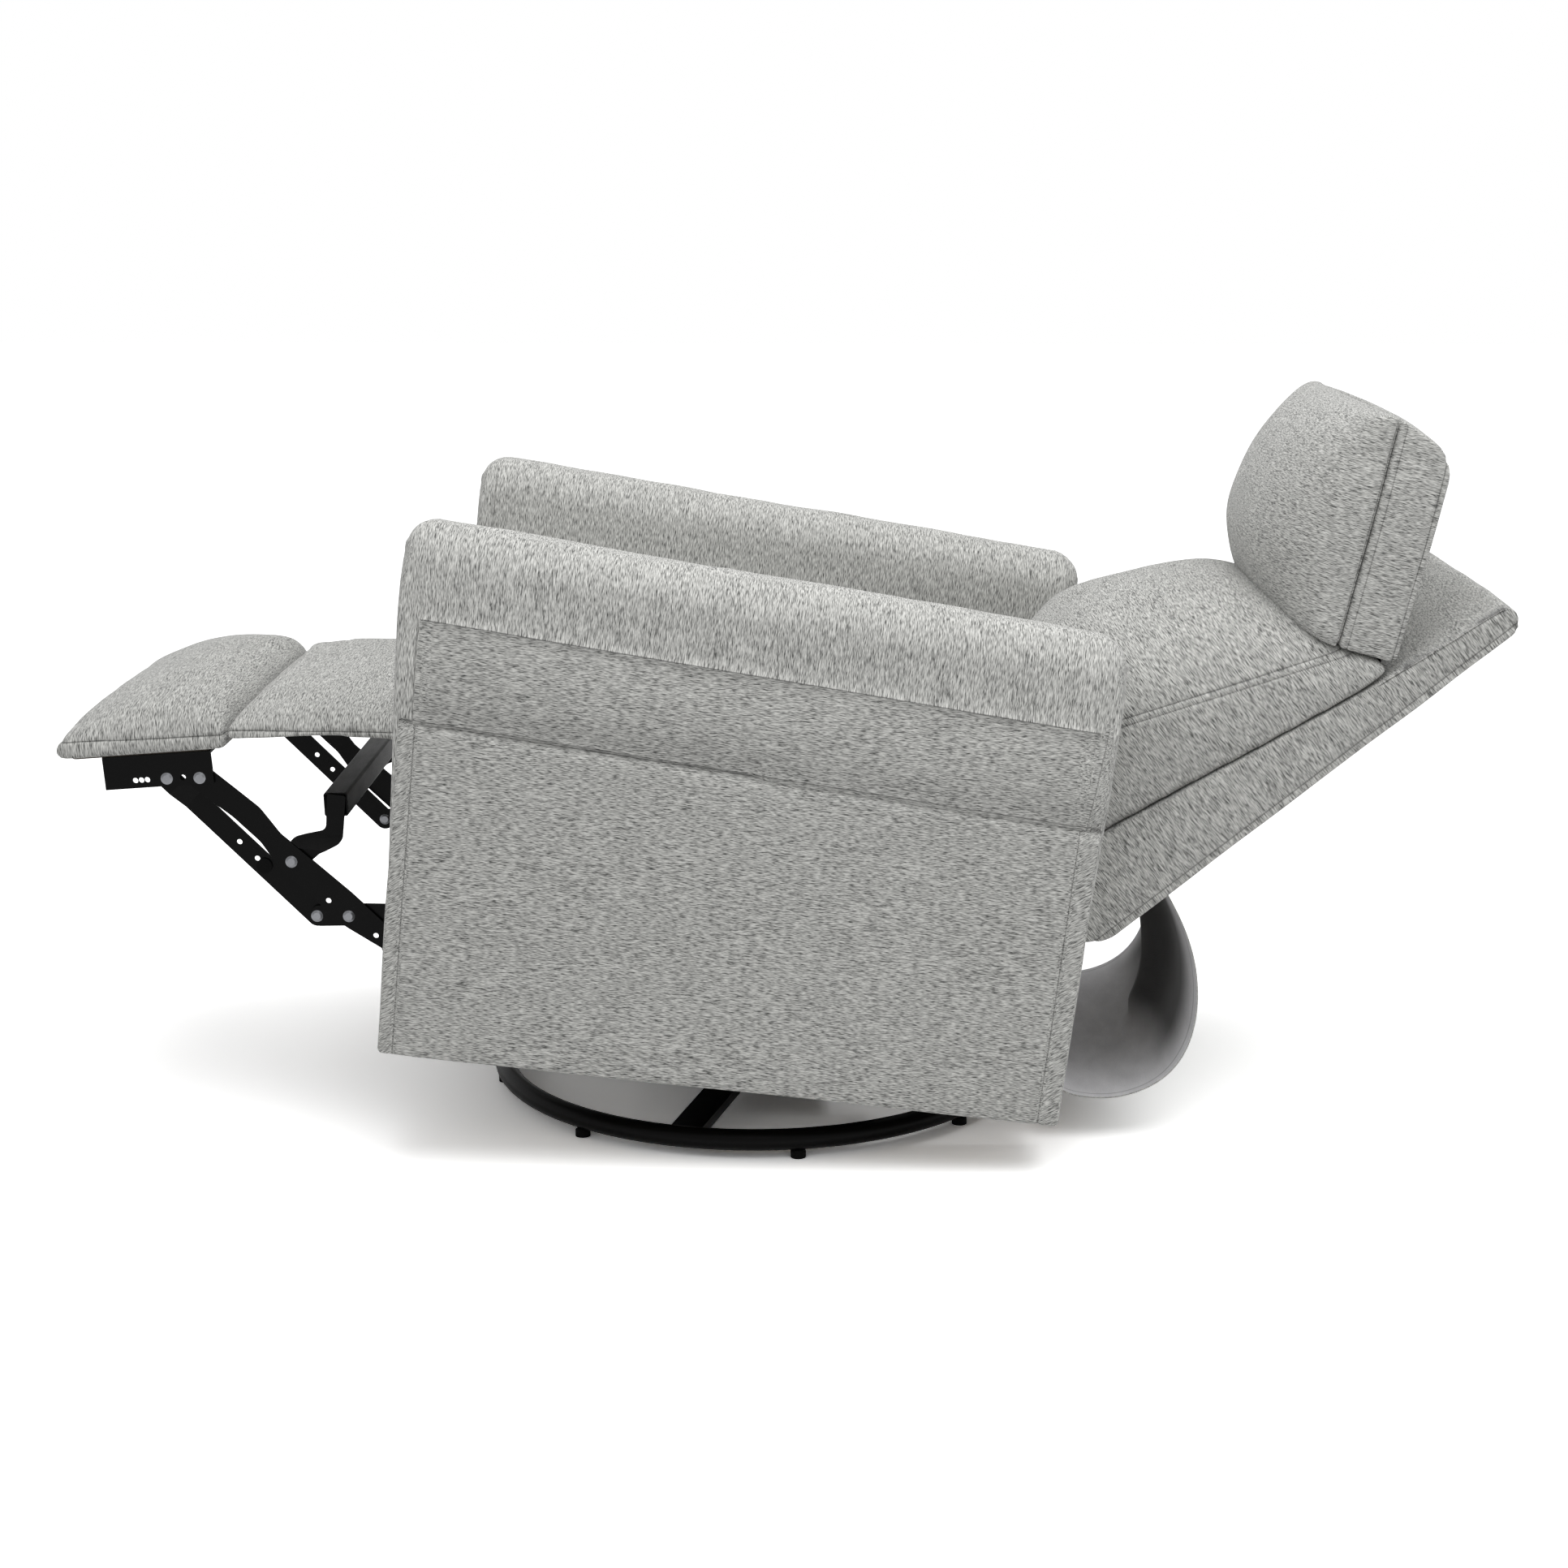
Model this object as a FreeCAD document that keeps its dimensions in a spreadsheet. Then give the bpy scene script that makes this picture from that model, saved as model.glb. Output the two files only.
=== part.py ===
# Swivel glider recliner: an upholstered chair body that glides on a turning ring base.
# Sizes are in millimetres. +Z is up, the sitter faces -Y and the sitter's left arm is at +X.
# The pose is the reclined one: footrest out, back down, glider resting on its rear stop.
import FreeCAD, Part
import math
import os
import Sketcher
from FreeCAD import Placement, Rotation, Vector

dimensions = {
    # whole chair
    "axis_y": -30.0,
    "body_tilt": 6.05,
    "seat_gap": 0.2,
    "run_gap": 0.05,
    "soft_gap": 0.2,
    # ring base
    "ring_radius": 317.5,
    "ring_tube_radius": 12.5,
    "foot_height": 9.3,
    "foot_radius": 9.0,
    "foot_spread": 24.5,
    "bar_turn": -14.0,
    "bar_width": 38.0,
    "bar_height": 12.0,
    "hub_radius": 82.0,
    "hub_thickness": 5.0,
    "spindle_radius": 12.0,
    "spindle_reach": 14.0,
    "nut_radius": 20.0,
    "nut_height": 8.0,
    # swivel bearing
    "race_inner": 45.0,
    "race_outer": 75.0,
    "race_thickness": 5.0,
    "race_space": 3.0,
    "ball_radius": 4.0,
    "ball_circle": 60.0,
    "ball_count": 12.0,
    # glider frame on the bearing
    "swivel_web": 4.0,
    "swivel_depth": 200.0,
    "swivel_flange": 38.0,
    "stand_inner": 168.0,
    "stand_gauge": 4.0,
    "stand_bottom": 44.0,
    "stand_half_foot": 150.0,
    "stand_corner": 20.0,
    "stand_margin": 20.0,
    "lightening_radius": 42.0,
    "stand_bolt_radius": 4.0,
    # glider links, with the upper pivots in the stand's frame and the lower in the body's
    "glide_upper_front_y": -120.9,
    "glide_upper_front_z": 266.7,
    "glide_upper_rear_y": 159.2,
    "glide_upper_rear_z": 254.3,
    "glide_lower_front_y": -78.0,
    "glide_lower_rear_y": 142.0,
    "glide_lower_z": 120.0,
    "glide_inner": 174.0,
    "glide_gauge": 4.0,
    "glide_width": 28.0,
    "glide_pin_radius": 5.0,
    "glide_loose": 2.6,
    "hanger_inner": 180.0,
    "hanger_gauge": 4.0,
    "hanger_margin": 17.0,
    # steel side rails and cross tubes of the recline mechanism
    "layer_outer": 244.0,
    "layer_pitch": 4.0,
    "plate_gauge": 3.0,
    "rail_front": -345.0,
    "rail_rear": 305.0,
    "rail_bottom": 288.0,
    "rail_top": 378.0,
    "rail_step": 120.0,
    "rail_arm_top": 320.0,
    "rail_flange": 22.0,
    "cross_tube_radius": 12.5,
    "cross_tube_wall": 2.0,
    "cross_tube_z": 325.0,
    # footrest linkage pivots in the body's frame
    "rear_pivot_y": -290.0,
    "rear_pivot_z": 330.0,
    "guide_pivot_y": -320.4,
    "guide_pivot_z": 344.37,
    "knee_y": -440.0,
    "knee_z": 182.0,
    "cross_y": -492.0,
    "cross_z": 215.0,
    "crank_rear_y": -418.0,
    "crank_rear_z": 225.0,
    "guide_loose": 0.8,
    "bracket_rear_y": -674.0,
    "bracket_rear_z": 362.0,
    "bracket_front_y": -711.6,
    "bracket_front_z": 357.0,
    "link_width": 26.0,
    "link_pin_radius": 4.0,
    "rivet_head_radius": 7.0,
    "rivet_head_height": 1.5,
    "joggle_start": 14.0,
    "joggle_end": 38.0,
    "bumper_radius": 9.0,
    "bumper_place": 0.64,
    "link_tube_y": -520.0,
    "link_tube_z": 341.0,
    "link_tube_side": 28.0,
    "link_tube_wall": 2.0,
    "strap_rivet_y": -563.0,
    "strap_rivet_z": 273.0,
    "strap_spare_y": -517.0,
    "strap_spare_z": 231.0,
    "strap_top": 353.0,
    "strap_step_low": 288.0,
    "strap_step_high": 304.0,
    # footrest pad, in its own frame that slopes down to the tip
    "pad_origin_y": -437.0,
    "pad_origin_z": 457.0,
    "pad_slope": 10.3,
    "pad_length": 412.0,
    "pad_half_width": 259.0,
    "pad_channel": 214.0,
    "pad_border": 20.0,
    "pad_rear_border": 11.0,
    "pad_crown": 55.0,
    "pad_rear_crown": 50.0,
    "pad_board": 10.0,
    "pad_board_inset": 14.0,
    "pad_board_front": 396.0,
    "pad_board_rear": 236.0,
    "foot_bracket_front": 360.0,
    "foot_bracket_rear": 234.0,
    "foot_bracket_drop": 38.0,
    "foot_bracket_flange": 24.0,
    # seat
    "seat_front": -412.0,
    "seat_rear": 100.0,
    "cushion_front": -402.0,
    "seat_half_width": 255.0,
    "seat_crown": 40.0,
    "seat_edge": 470.0,
    "seat_rail_depth": 34.0,
    "seat_rail_height": 20.0,
    "webbing_width": 50.0,
    "webbing_thickness": 2.0,
    "webbing_count": 5.0,
    # arms, in the body's frame
    "arm_inner": 265.0,
    "arm_outer": 375.0,
    "arm_front_bottom": -425.7,
    "arm_front_top": -434.4,
    "arm_rear_bottom": 342.6,
    "arm_rear_top": 355.3,
    "arm_bottom": 98.0,
    "arm_front_height": 702.0,
    "arm_slope": 3.8,
    "arm_round": 42.0,
    "arm_front_round": 30.0,
    "arm_rear_round": 44.0,
    "pocket_front_z": 485.0,
    "pocket_rear_z": 445.0,
    "pocket_gap": 6.0,
    "pocket_wall": 2.0,
    "pocket_border": 12.0,
    "frame_inner": 305.0,
    "frame_gauge": 18.0,
    "frame_inset": 22.0,
    "frame_headroom": 60.0,
    "frame_hole_radius": 62.0,
    "lower_rail_height": 60.0,
    "lower_rail_depth": 22.0,
    "lower_rail_y": 312.0,
    # back, in its own frame with its origin on the recline pivot
    "recline_y": 285.0,
    "recline_z": 300.0,
    "back_lean": 45.0,
    "back_half_width": 259.0,
    "back_rear": 70.0,
    "back_bottom": 30.0,
    "back_bottom_rear": 47.0,
    "band_low_depth": -40.0,
    "band_high_depth": 29.0,
    "band_high": 473.0,
    "back_top": 648.0,
    "back_top_depth": 48.0,
    "back_top_round": 7.0,
    "board_front": 38.0,
    "board_gauge": 14.0,
    "board_half_width": 227.8,
    "board_bottom": 24.0,
    "board_top": 555.0,
    "back_crown": 80.0,
    "back_bracket_width": 34.0,
    "back_bracket_top": 190.0,
    # rear skirt
    "skirt_half_width": 250.0,
    "skirt_thickness": 2.0,
    "skirt_bulge": 150.0,
    "skirt_low_bulge": 118.0,
    # headrest
    "head_hinge_depth": 21.0,
    "head_hinge_height": 498.0,
    "head_lean": 38.0,
    "head_bottom": 9.0,
    "head_height": 238.0,
    "head_depth": 62.0,
    "head_half_width": 256.0,
    "head_crown": 88.0,
    "head_board": 10.0,
    "head_board_inset": 30.0,
    "head_board_cover": 14.0,
    "head_board_below": 40.0,
    "hinge_rod_radius": 3.0,
    "hinge_knuckle_radius": 5.5,
    "hinge_knuckle_length": 28.0,
    "hinge_spread": 150.0,
    # release lever beside the seat
    "lever_inner": 257.5,
    "lever_gauge": 4.0,
    "lever_pivot_y": -180.0,
    "lever_pivot_z": 350.0,
    "lever_grip_y": -262.0,
    "lever_grip_z": 556.0,
    "lever_width": 24.0,
    "lever_pin_radius": 5.0,
}

doc = FreeCAD.newDocument("glider_recliner")
sheet = doc.addObject("Spreadsheet::Sheet", "Dims")
for row, (alias, number) in enumerate(dimensions.items(), start=1):
    sheet.set(f"A{row}", alias)
    sheet.set(f"B{row}", str(number))
    sheet.setAlias(f"B{row}", alias)
doc.recompute()


class Size:
    # A number together with the sheet expression that drives it

    def __init__(self, value, text):
        self.value = float(value)
        self.text = text

    def __float__(self):
        return self.value

    def __add__(self, other):
        return Size(self.value + float(other), f"({self.text} + {words(other)})")

    def __radd__(self, other):
        return Size(float(other) + self.value, f"({words(other)} + {self.text})")

    def __sub__(self, other):
        return Size(self.value - float(other), f"({self.text} - {words(other)})")

    def __rsub__(self, other):
        return Size(float(other) - self.value, f"({words(other)} - {self.text})")

    def __mul__(self, other):
        return Size(self.value * float(other), f"({self.text} * {words(other)})")

    def __rmul__(self, other):
        return Size(float(other) * self.value, f"({words(other)} * {self.text})")

    def __truediv__(self, other):
        return Size(self.value / float(other), f"({self.text} / {words(other)})")

    def __neg__(self):
        return Size(-self.value, f"(-1 * {self.text})")


def words(number):
    return number.text if isinstance(number, Size) else f"({float(number)!r})"


class Sheet:
    # Gives each alias of the sheet as a Size
    def __getattr__(self, alias):
        return Size(getattr(sheet, alias), f"Dims.{alias}")


d = Sheet()
sides = ((1, "left"), (-1, "right"))


def place(y=0.0, z=0.0, turn=0.0, x=0.0):
    # A frame moved to (x, y, z) and turned by so many degrees about X
    return Placement(Vector(float(x), float(y), float(z)), Rotation(Vector(1, 0, 0), float(turn)))


floorFrame = place(d.axis_y)
bodyFrame = place(d.axis_y, 0, -d.body_tilt)
padFrame = bodyFrame * place(d.pad_origin_y, d.pad_origin_z, d.pad_slope)
backFrame = bodyFrame * place(d.recline_y, d.recline_z, -d.back_lean)
headFrame = backFrame * place(d.head_hinge_depth, d.head_hinge_height, d.head_lean)


def layer(index):
    # Inner face of the linkage's plate layers, counted inwards from the footrest bracket
    return d.layer_outer - d.layer_pitch * index


# Sketch and feature helpers


def bind(target, name, number):
    target.setExpression(name, words(number))


def newBody(label, frame):
    body = doc.addObject("PartDesign::Body", label)
    body.Label = label
    body.Placement = frame
    return body


def newSketch(body, role, offset=0.0):
    plane = next(item for item in body.Origin.OriginFeatures if item.Role == role)
    sketch = body.newObject("Sketcher::SketchObject", f"{body.Name}_sketch")
    sketch.AttachmentSupport = (plane, [""])
    sketch.MapMode = "FlatFace"
    bind(sketch, "AttachmentOffset.Base.z", offset)
    return sketch


def fixPoint(sketch, item, spot, across, up):
    for kind, number in (("DistanceX", across), ("DistanceY", up)):
        index = sketch.addConstraint(Sketcher.Constraint(kind, -1, 1, item, spot, float(number)))
        if isinstance(number, Size):
            bind(sketch, f"Constraints[{index}]", number)


def fixRadius(sketch, item, radius):
    index = sketch.addConstraint(Sketcher.Constraint("Radius", item, float(radius)))
    if isinstance(radius, Size):
        bind(sketch, f"Constraints[{index}]", radius)


def drawHole(sketch, across, up, radius):
    centre = Vector(float(across), float(up), 0)
    item = sketch.addGeometry(Part.Circle(centre, Vector(0, 0, 1), float(radius)), False)
    fixPoint(sketch, item, 3, across, up)
    fixRadius(sketch, item, radius)


def drawOutline(sketch, corners):
    # A closed outline of straight runs; a corner with a third value is rounded to that radius
    count = len(corners)
    points = [Vector(float(corner[0]), float(corner[1]), 0) for corner in corners]
    rounds = [float(corner[2]) if len(corner) > 2 else 0.0 for corner in corners]
    arrive = []
    leave = []
    for index, point in enumerate(points):
        back = (points[index - 1] - point).normalize()
        ahead = (points[(index + 1) % count] - point).normalize()
        half = back.getAngle(ahead) / 2
        run = rounds[index] / math.tan(half)
        arrive.append(point + back * run)
        leave.append(point + ahead * run)
    lines = []
    for index in range(count):
        following = (index + 1) % count
        lines.append(sketch.addGeometry(Part.LineSegment(leave[index], arrive[following]), False))
    for index, point in enumerate(points):
        before = lines[index - 1]
        after = lines[index]
        corner = corners[index]
        if rounds[index] == 0.0:
            sketch.addConstraint(Sketcher.Constraint("Coincident", before, 2, after, 1))
            fixPoint(sketch, after, 1, corner[0], corner[1])
            continue
        back = (points[index - 1] - point).normalize()
        ahead = (points[(index + 1) % count] - point).normalize()
        half = back.getAngle(ahead) / 2
        centre = point + (back + ahead).normalize() * (rounds[index] / math.sin(half))
        leftTurn = back.cross(ahead).z < 0
        first, last = (arrive[index], leave[index]) if leftTurn else (leave[index], arrive[index])
        start = math.atan2(first.y - centre.y, first.x - centre.x)
        end = math.atan2(last.y - centre.y, last.x - centre.x)
        circle = Part.Circle(centre, Vector(0, 0, 1), rounds[index])
        arc = sketch.addGeometry(Part.ArcOfCircle(circle, start, end), False)
        mark = sketch.addGeometry(Part.Point(point), True)
        sketch.addConstraint(Sketcher.Constraint("Tangent", before, 2, arc, 1 if leftTurn else 2))
        sketch.addConstraint(Sketcher.Constraint("Tangent", after, 1, arc, 2 if leftTurn else 1))
        sketch.addConstraint(Sketcher.Constraint("PointOnObject", mark, 1, before))
        sketch.addConstraint(Sketcher.Constraint("PointOnObject", mark, 1, after))
        fixPoint(sketch, mark, 1, corner[0], corner[1])
        fixRadius(sketch, arc, corner[2])


def padSketch(body, sketch, length):
    feature = body.newObject("PartDesign::Pad", f"{body.Name}_pad")
    feature.Profile = sketch
    bind(feature, "Length", length)
    return feature


def pocketSketch(body, sketch, length, reverse=False):
    feature = body.newObject("PartDesign::Pocket", f"{body.Name}_pocket")
    feature.Profile = sketch
    feature.Reversed = reverse
    bind(feature, "Length", length)
    return feature


def prism(label, frame, role, offset, length, corners, holes=()):
    # One outline with round holes, drawn on an origin plane and padded along its normal
    body = newBody(label, frame)
    sketch = newSketch(body, role, offset)
    drawOutline(sketch, corners)
    for hole in holes:
        drawHole(sketch, *hole)
    padSketch(body, sketch, length)
    return body


def sidePlate(label, frame, side, inner, gauge, corners, holes=()):
    # A plate across X whose inner face lies at that distance from the middle
    offset = inner if side > 0 else -(inner + gauge)
    return prism(label, frame, "YZ_Plane", offset, gauge, corners, holes)


def combine(kind, label, parts, frame=None):
    item = doc.addObject(kind, label)
    item.Label = label
    if kind in ("Part::Cut", "Part::Common"):
        item.Base, item.Tool = parts
    elif kind == "Part::Compound":
        item.Links = parts
    else:
        item.Shapes = parts
    if frame:
        item.Placement = frame
    return item


def solidPiece(label, shape, frame):
    item = doc.addObject("Part::Feature", label)
    item.Label = label
    item.Shape = shape
    item.Placement = frame
    return item


def pinAlong(inner, outer, y, z, radius):
    # A round pin across X, given for the left side; a negative span makes the right one
    low = min(float(inner), float(outer))
    high = max(float(inner), float(outer))
    start = Vector(low, float(y), float(z))
    return Part.makeCylinder(float(radius), high - low, start, Vector(1, 0, 0))


def rivet(side, inner, outer, y, z, radius, headInner=False, headOuter=True):
    # A shank between two distances from the middle, with domed heads where asked
    head = float(d.rivet_head_height)
    wide = float(d.rivet_head_radius)
    shape = pinAlong(side * inner, side * outer, y, z, radius)
    for wanted, at, way in ((headInner, inner, -1), (headOuter, outer, 1)):
        if wanted:
            foot = Vector(side * float(at), float(y), float(z))
            dome = Part.makeCone(wide, wide * 0.62, head, foot, Vector(side * way, 0, 0))
            shape = shape.fuse(dome)
    return shape.removeSplitter()


exported = []


def keep(*pieces):
    exported.extend(pieces)


# Base: ring, crossed bars, feet, hub with its spindle and nut

ringHeight = d.foot_height + d.seat_gap + d.ring_tube_radius


def makeBase():
    ring = doc.addObject("Part::Torus", "base_ring")
    ring.Label = "base_ring"
    bind(ring, "Radius1", d.ring_radius)
    bind(ring, "Radius2", d.ring_tube_radius)
    ring.Placement = floorFrame * place(0, ringHeight)

    reach = d.ring_radius
    half = d.bar_width / 2
    cross = [
        (reach, -half), (reach, half), (half, half), (half, reach), (-half, reach), (-half, half),
        (-reach, half), (-reach, -half), (-half, -half), (-half, -reach), (half, -reach), (half, -half),
    ]
    turned = Placement(Vector(0, float(d.axis_y), 0), Rotation(Vector(0, 0, 1), float(d.bar_turn)))
    barBottom = ringHeight - d.bar_height / 2
    bars = prism("crossed_bars_blank", turned, "XY_Plane", barBottom, d.bar_height, cross)
    cope = doc.addObject("Part::Torus", "ring_cope")
    bind(cope, "Radius1", d.ring_radius)
    bind(cope, "Radius2", d.ring_tube_radius + d.seat_gap)
    cope.Placement = floorFrame * place(0, ringHeight)
    trimmed = combine("Part::Cut", "crossed_bars_coped", [bars, cope])
    inside = doc.addObject("Part::Cylinder", "inside_of_ring")
    bind(inside, "Radius", d.ring_radius)
    bind(inside, "Height", ringHeight * 2)
    inside.Placement = floorFrame
    crossbars = combine("Part::Common", "base_crossbars", [trimmed, inside])

    feet = []
    for quarter in range(4):
        for spread in (-d.foot_spread, d.foot_spread):
            turn = math.radians(float(d.bar_turn + spread + 90 * quarter))
            centre = Vector(math.cos(turn), math.sin(turn), 0) * float(d.ring_radius)
            foot = Part.makeCylinder(float(d.foot_radius), float(d.foot_height), centre)
            feet.append(foot.makeChamfer(float(d.foot_height) * 0.2, [foot.Edges[0]]))
    baseFeet = solidPiece("base_feet", Part.makeCompound(feet), floorFrame)
    keep(ring, crossbars, baseFeet)


hubBottom = ringHeight + d.bar_height / 2 + d.seat_gap
lowerRaceBottom = hubBottom + d.hub_thickness + d.seat_gap
ballHeight = lowerRaceBottom + d.race_thickness + d.race_space / 2
upperRaceBottom = ballHeight + d.race_space / 2
webBottom = upperRaceBottom + d.race_thickness + d.seat_gap
webTop = webBottom + d.swivel_web


def makeBearing():
    hub = newBody("hub_spindle", floorFrame)
    sketch = newSketch(hub, "XY_Plane", hubBottom)
    drawHole(sketch, 0.0, 0.0, d.hub_radius)
    padSketch(hub, sketch, d.hub_thickness)
    sketch = newSketch(hub, "XY_Plane", hubBottom)
    drawHole(sketch, 0.0, 0.0, d.spindle_radius)
    padSketch(hub, sketch, webTop - hubBottom + d.spindle_reach)

    nut = newBody("spindle_nut", floorFrame)
    sketch = newSketch(nut, "XY_Plane", webTop + d.run_gap * 4)
    corners = []
    for step in range(6):
        turn = math.radians(60 * step)
        corners.append((d.nut_radius * math.cos(turn), d.nut_radius * math.sin(turn)))
    drawOutline(sketch, corners)
    drawHole(sketch, 0.0, 0.0, d.spindle_radius + d.run_gap)
    padSketch(nut, sketch, d.nut_height)

    races = []
    for label, bottom in (("lower_race", lowerRaceBottom), ("upper_race", upperRaceBottom)):
        plain = newBody(f"{label}_blank", floorFrame)
        sketch = newSketch(plain, "XY_Plane", bottom)
        drawHole(sketch, 0.0, 0.0, d.race_outer)
        drawHole(sketch, 0.0, 0.0, d.race_inner)
        padSketch(plain, sketch, d.race_thickness)
        groove = doc.addObject("Part::Torus", f"{label}_groove")
        bind(groove, "Radius1", d.ball_circle)
        bind(groove, "Radius2", d.ball_radius + d.run_gap)
        groove.Placement = floorFrame * place(0, ballHeight)
        races.append(combine("Part::Cut", label, [plain, groove]))

    balls = []
    for step in range(int(float(d.ball_count))):
        turn = 2 * math.pi * step / float(d.ball_count)
        centre = Vector(math.cos(turn), math.sin(turn), 0) * float(d.ball_circle)
        balls.append(Part.makeSphere(float(d.ball_radius), centre + Vector(0, 0, float(ballHeight))))
    bearingBalls = solidPiece("bearing_balls", Part.makeCompound(balls), floorFrame)
    keep(hub, nut, races[0], races[1], bearingBalls)


# Glider frame that turns on the bearing


def makeGliderFrame():
    channel = newBody("swivel_channel", floorFrame)
    outer = d.stand_inner - d.seat_gap
    inner = outer - d.swivel_web
    top = webBottom + d.swivel_flange
    sketch = newSketch(channel, "XZ_Plane", -d.swivel_depth / 2)
    drawOutline(sketch, [
        (-outer, webBottom), (outer, webBottom), (outer, top), (inner, top),
        (inner, webTop), (-inner, webTop), (-inner, top), (-outer, top),
    ])
    padSketch(channel, sketch, d.swivel_depth)
    sketch = newSketch(channel, "XY_Plane", webBottom)
    drawHole(sketch, 0.0, 0.0, d.spindle_radius + d.run_gap)
    pocketSketch(channel, sketch, d.swivel_web * 2, reverse=True)
    boltY = d.swivel_depth * 0.36
    boltZ = webTop + (d.swivel_flange - d.swivel_web) * 0.55
    sketch = newSketch(channel, "YZ_Plane", -outer)
    for y in (-boltY, boltY):
        drawHole(sketch, y, boltZ, d.stand_bolt_radius + d.run_gap)
    pocketSketch(channel, sketch, outer * 2, reverse=True)

    foot = d.stand_half_foot
    margin = d.stand_margin
    outline = [
        (-foot, d.stand_bottom, d.stand_corner),
        (foot, d.stand_bottom, d.stand_corner),
        (d.glide_upper_rear_y + margin, d.glide_upper_rear_z + margin, d.stand_corner - 2),
        (d.glide_upper_front_y - margin, d.glide_upper_front_z + margin, d.stand_corner - 2),
    ]
    middle = (webTop + d.swivel_flange + d.glide_upper_rear_z) / 2
    holes = [
        (d.glide_upper_front_y, d.glide_upper_front_z, d.glide_pin_radius + d.run_gap),
        (d.glide_upper_rear_y, d.glide_upper_rear_z, d.glide_pin_radius + d.run_gap),
        (-boltY, boltZ, d.stand_bolt_radius + d.run_gap),
        (boltY, boltZ, d.stand_bolt_radius + d.run_gap),
        (-d.lightening_radius * 1.5, middle, d.lightening_radius),
        (d.lightening_radius * 1.5, middle, d.lightening_radius),
    ]
    stands = []
    bolts = []
    pins = []
    for side, name in sides:
        stands.append(sidePlate(f"{name}_stand", floorFrame, side, d.stand_inner, d.stand_gauge, outline, holes))
        for y in (-boltY, boltY):
            near = float(inner) - 0.1
            far = float(d.stand_inner + d.stand_gauge) + 0.1
            bolts.append(rivet(side, near, far, y, boltZ, d.stand_bolt_radius, headInner=True, headOuter=False))
        for y, z in ((d.glide_upper_front_y, d.glide_upper_front_z), (d.glide_upper_rear_y, d.glide_upper_rear_z)):
            near = float(d.stand_inner) - 0.1
            far = float(d.glide_inner + d.glide_gauge) + 0.2
            pins.append(rivet(side, near, far, y, z, d.glide_pin_radius, headInner=True))
    standBolts = solidPiece("stand_bolts", Part.makeCompound(bolts), floorFrame)
    upperPins = solidPiece("glide_upper_pins", Part.makeCompound(pins), floorFrame)
    keep(channel, combine("Part::Compound", "glide_stands", stands), standBolts, upperPins)


def bodyToFloor(y, z):
    # A point of the tilted body seen in the stand's upright frame
    turn = math.radians(float(d.body_tilt))
    across = math.cos(turn) * float(y) + math.sin(turn) * float(z)
    up = math.cos(turn) * float(z) - math.sin(turn) * float(y)
    return across, up


def makeGlideLinks():
    ends = (
        ("front_glide_links", d.glide_upper_front_y, d.glide_upper_front_z, d.glide_lower_front_y, d.run_gap),
        ("rear_glide_links", d.glide_upper_rear_y, d.glide_upper_rear_z, d.glide_lower_rear_y, d.glide_loose),
    )
    half = d.glide_width / 2
    for label, upperY, upperZ, lowerY, slack in ends:
        lower = bodyToFloor(lowerY, d.glide_lower_z)
        reach = math.hypot(lower[0] - float(upperY), lower[1] - float(upperZ))
        swing = math.degrees(math.atan2(lower[1] - float(upperZ), lower[0] - float(upperY))) + 90
        frame = floorFrame * place(upperY, upperZ, swing)
        outline = [
            (-half, -reach - half, half * 0.98), (half, -reach - half, half * 0.98),
            (half, half, half * 0.98), (-half, half, half * 0.98),
        ]
        holes = [
            (0.0, 0.0, d.glide_pin_radius + d.run_gap),
            (0.0, -reach, d.glide_pin_radius + slack),
        ]
        pair = []
        for side, name in sides:
            pair.append(sidePlate(f"{name}_{label}", frame, side, d.glide_inner, d.glide_gauge, outline, holes))
        keep(combine("Part::Compound", label, pair))


# Chair body: side rails, hangers, cross tubes, rails, webbing and seat


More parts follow.
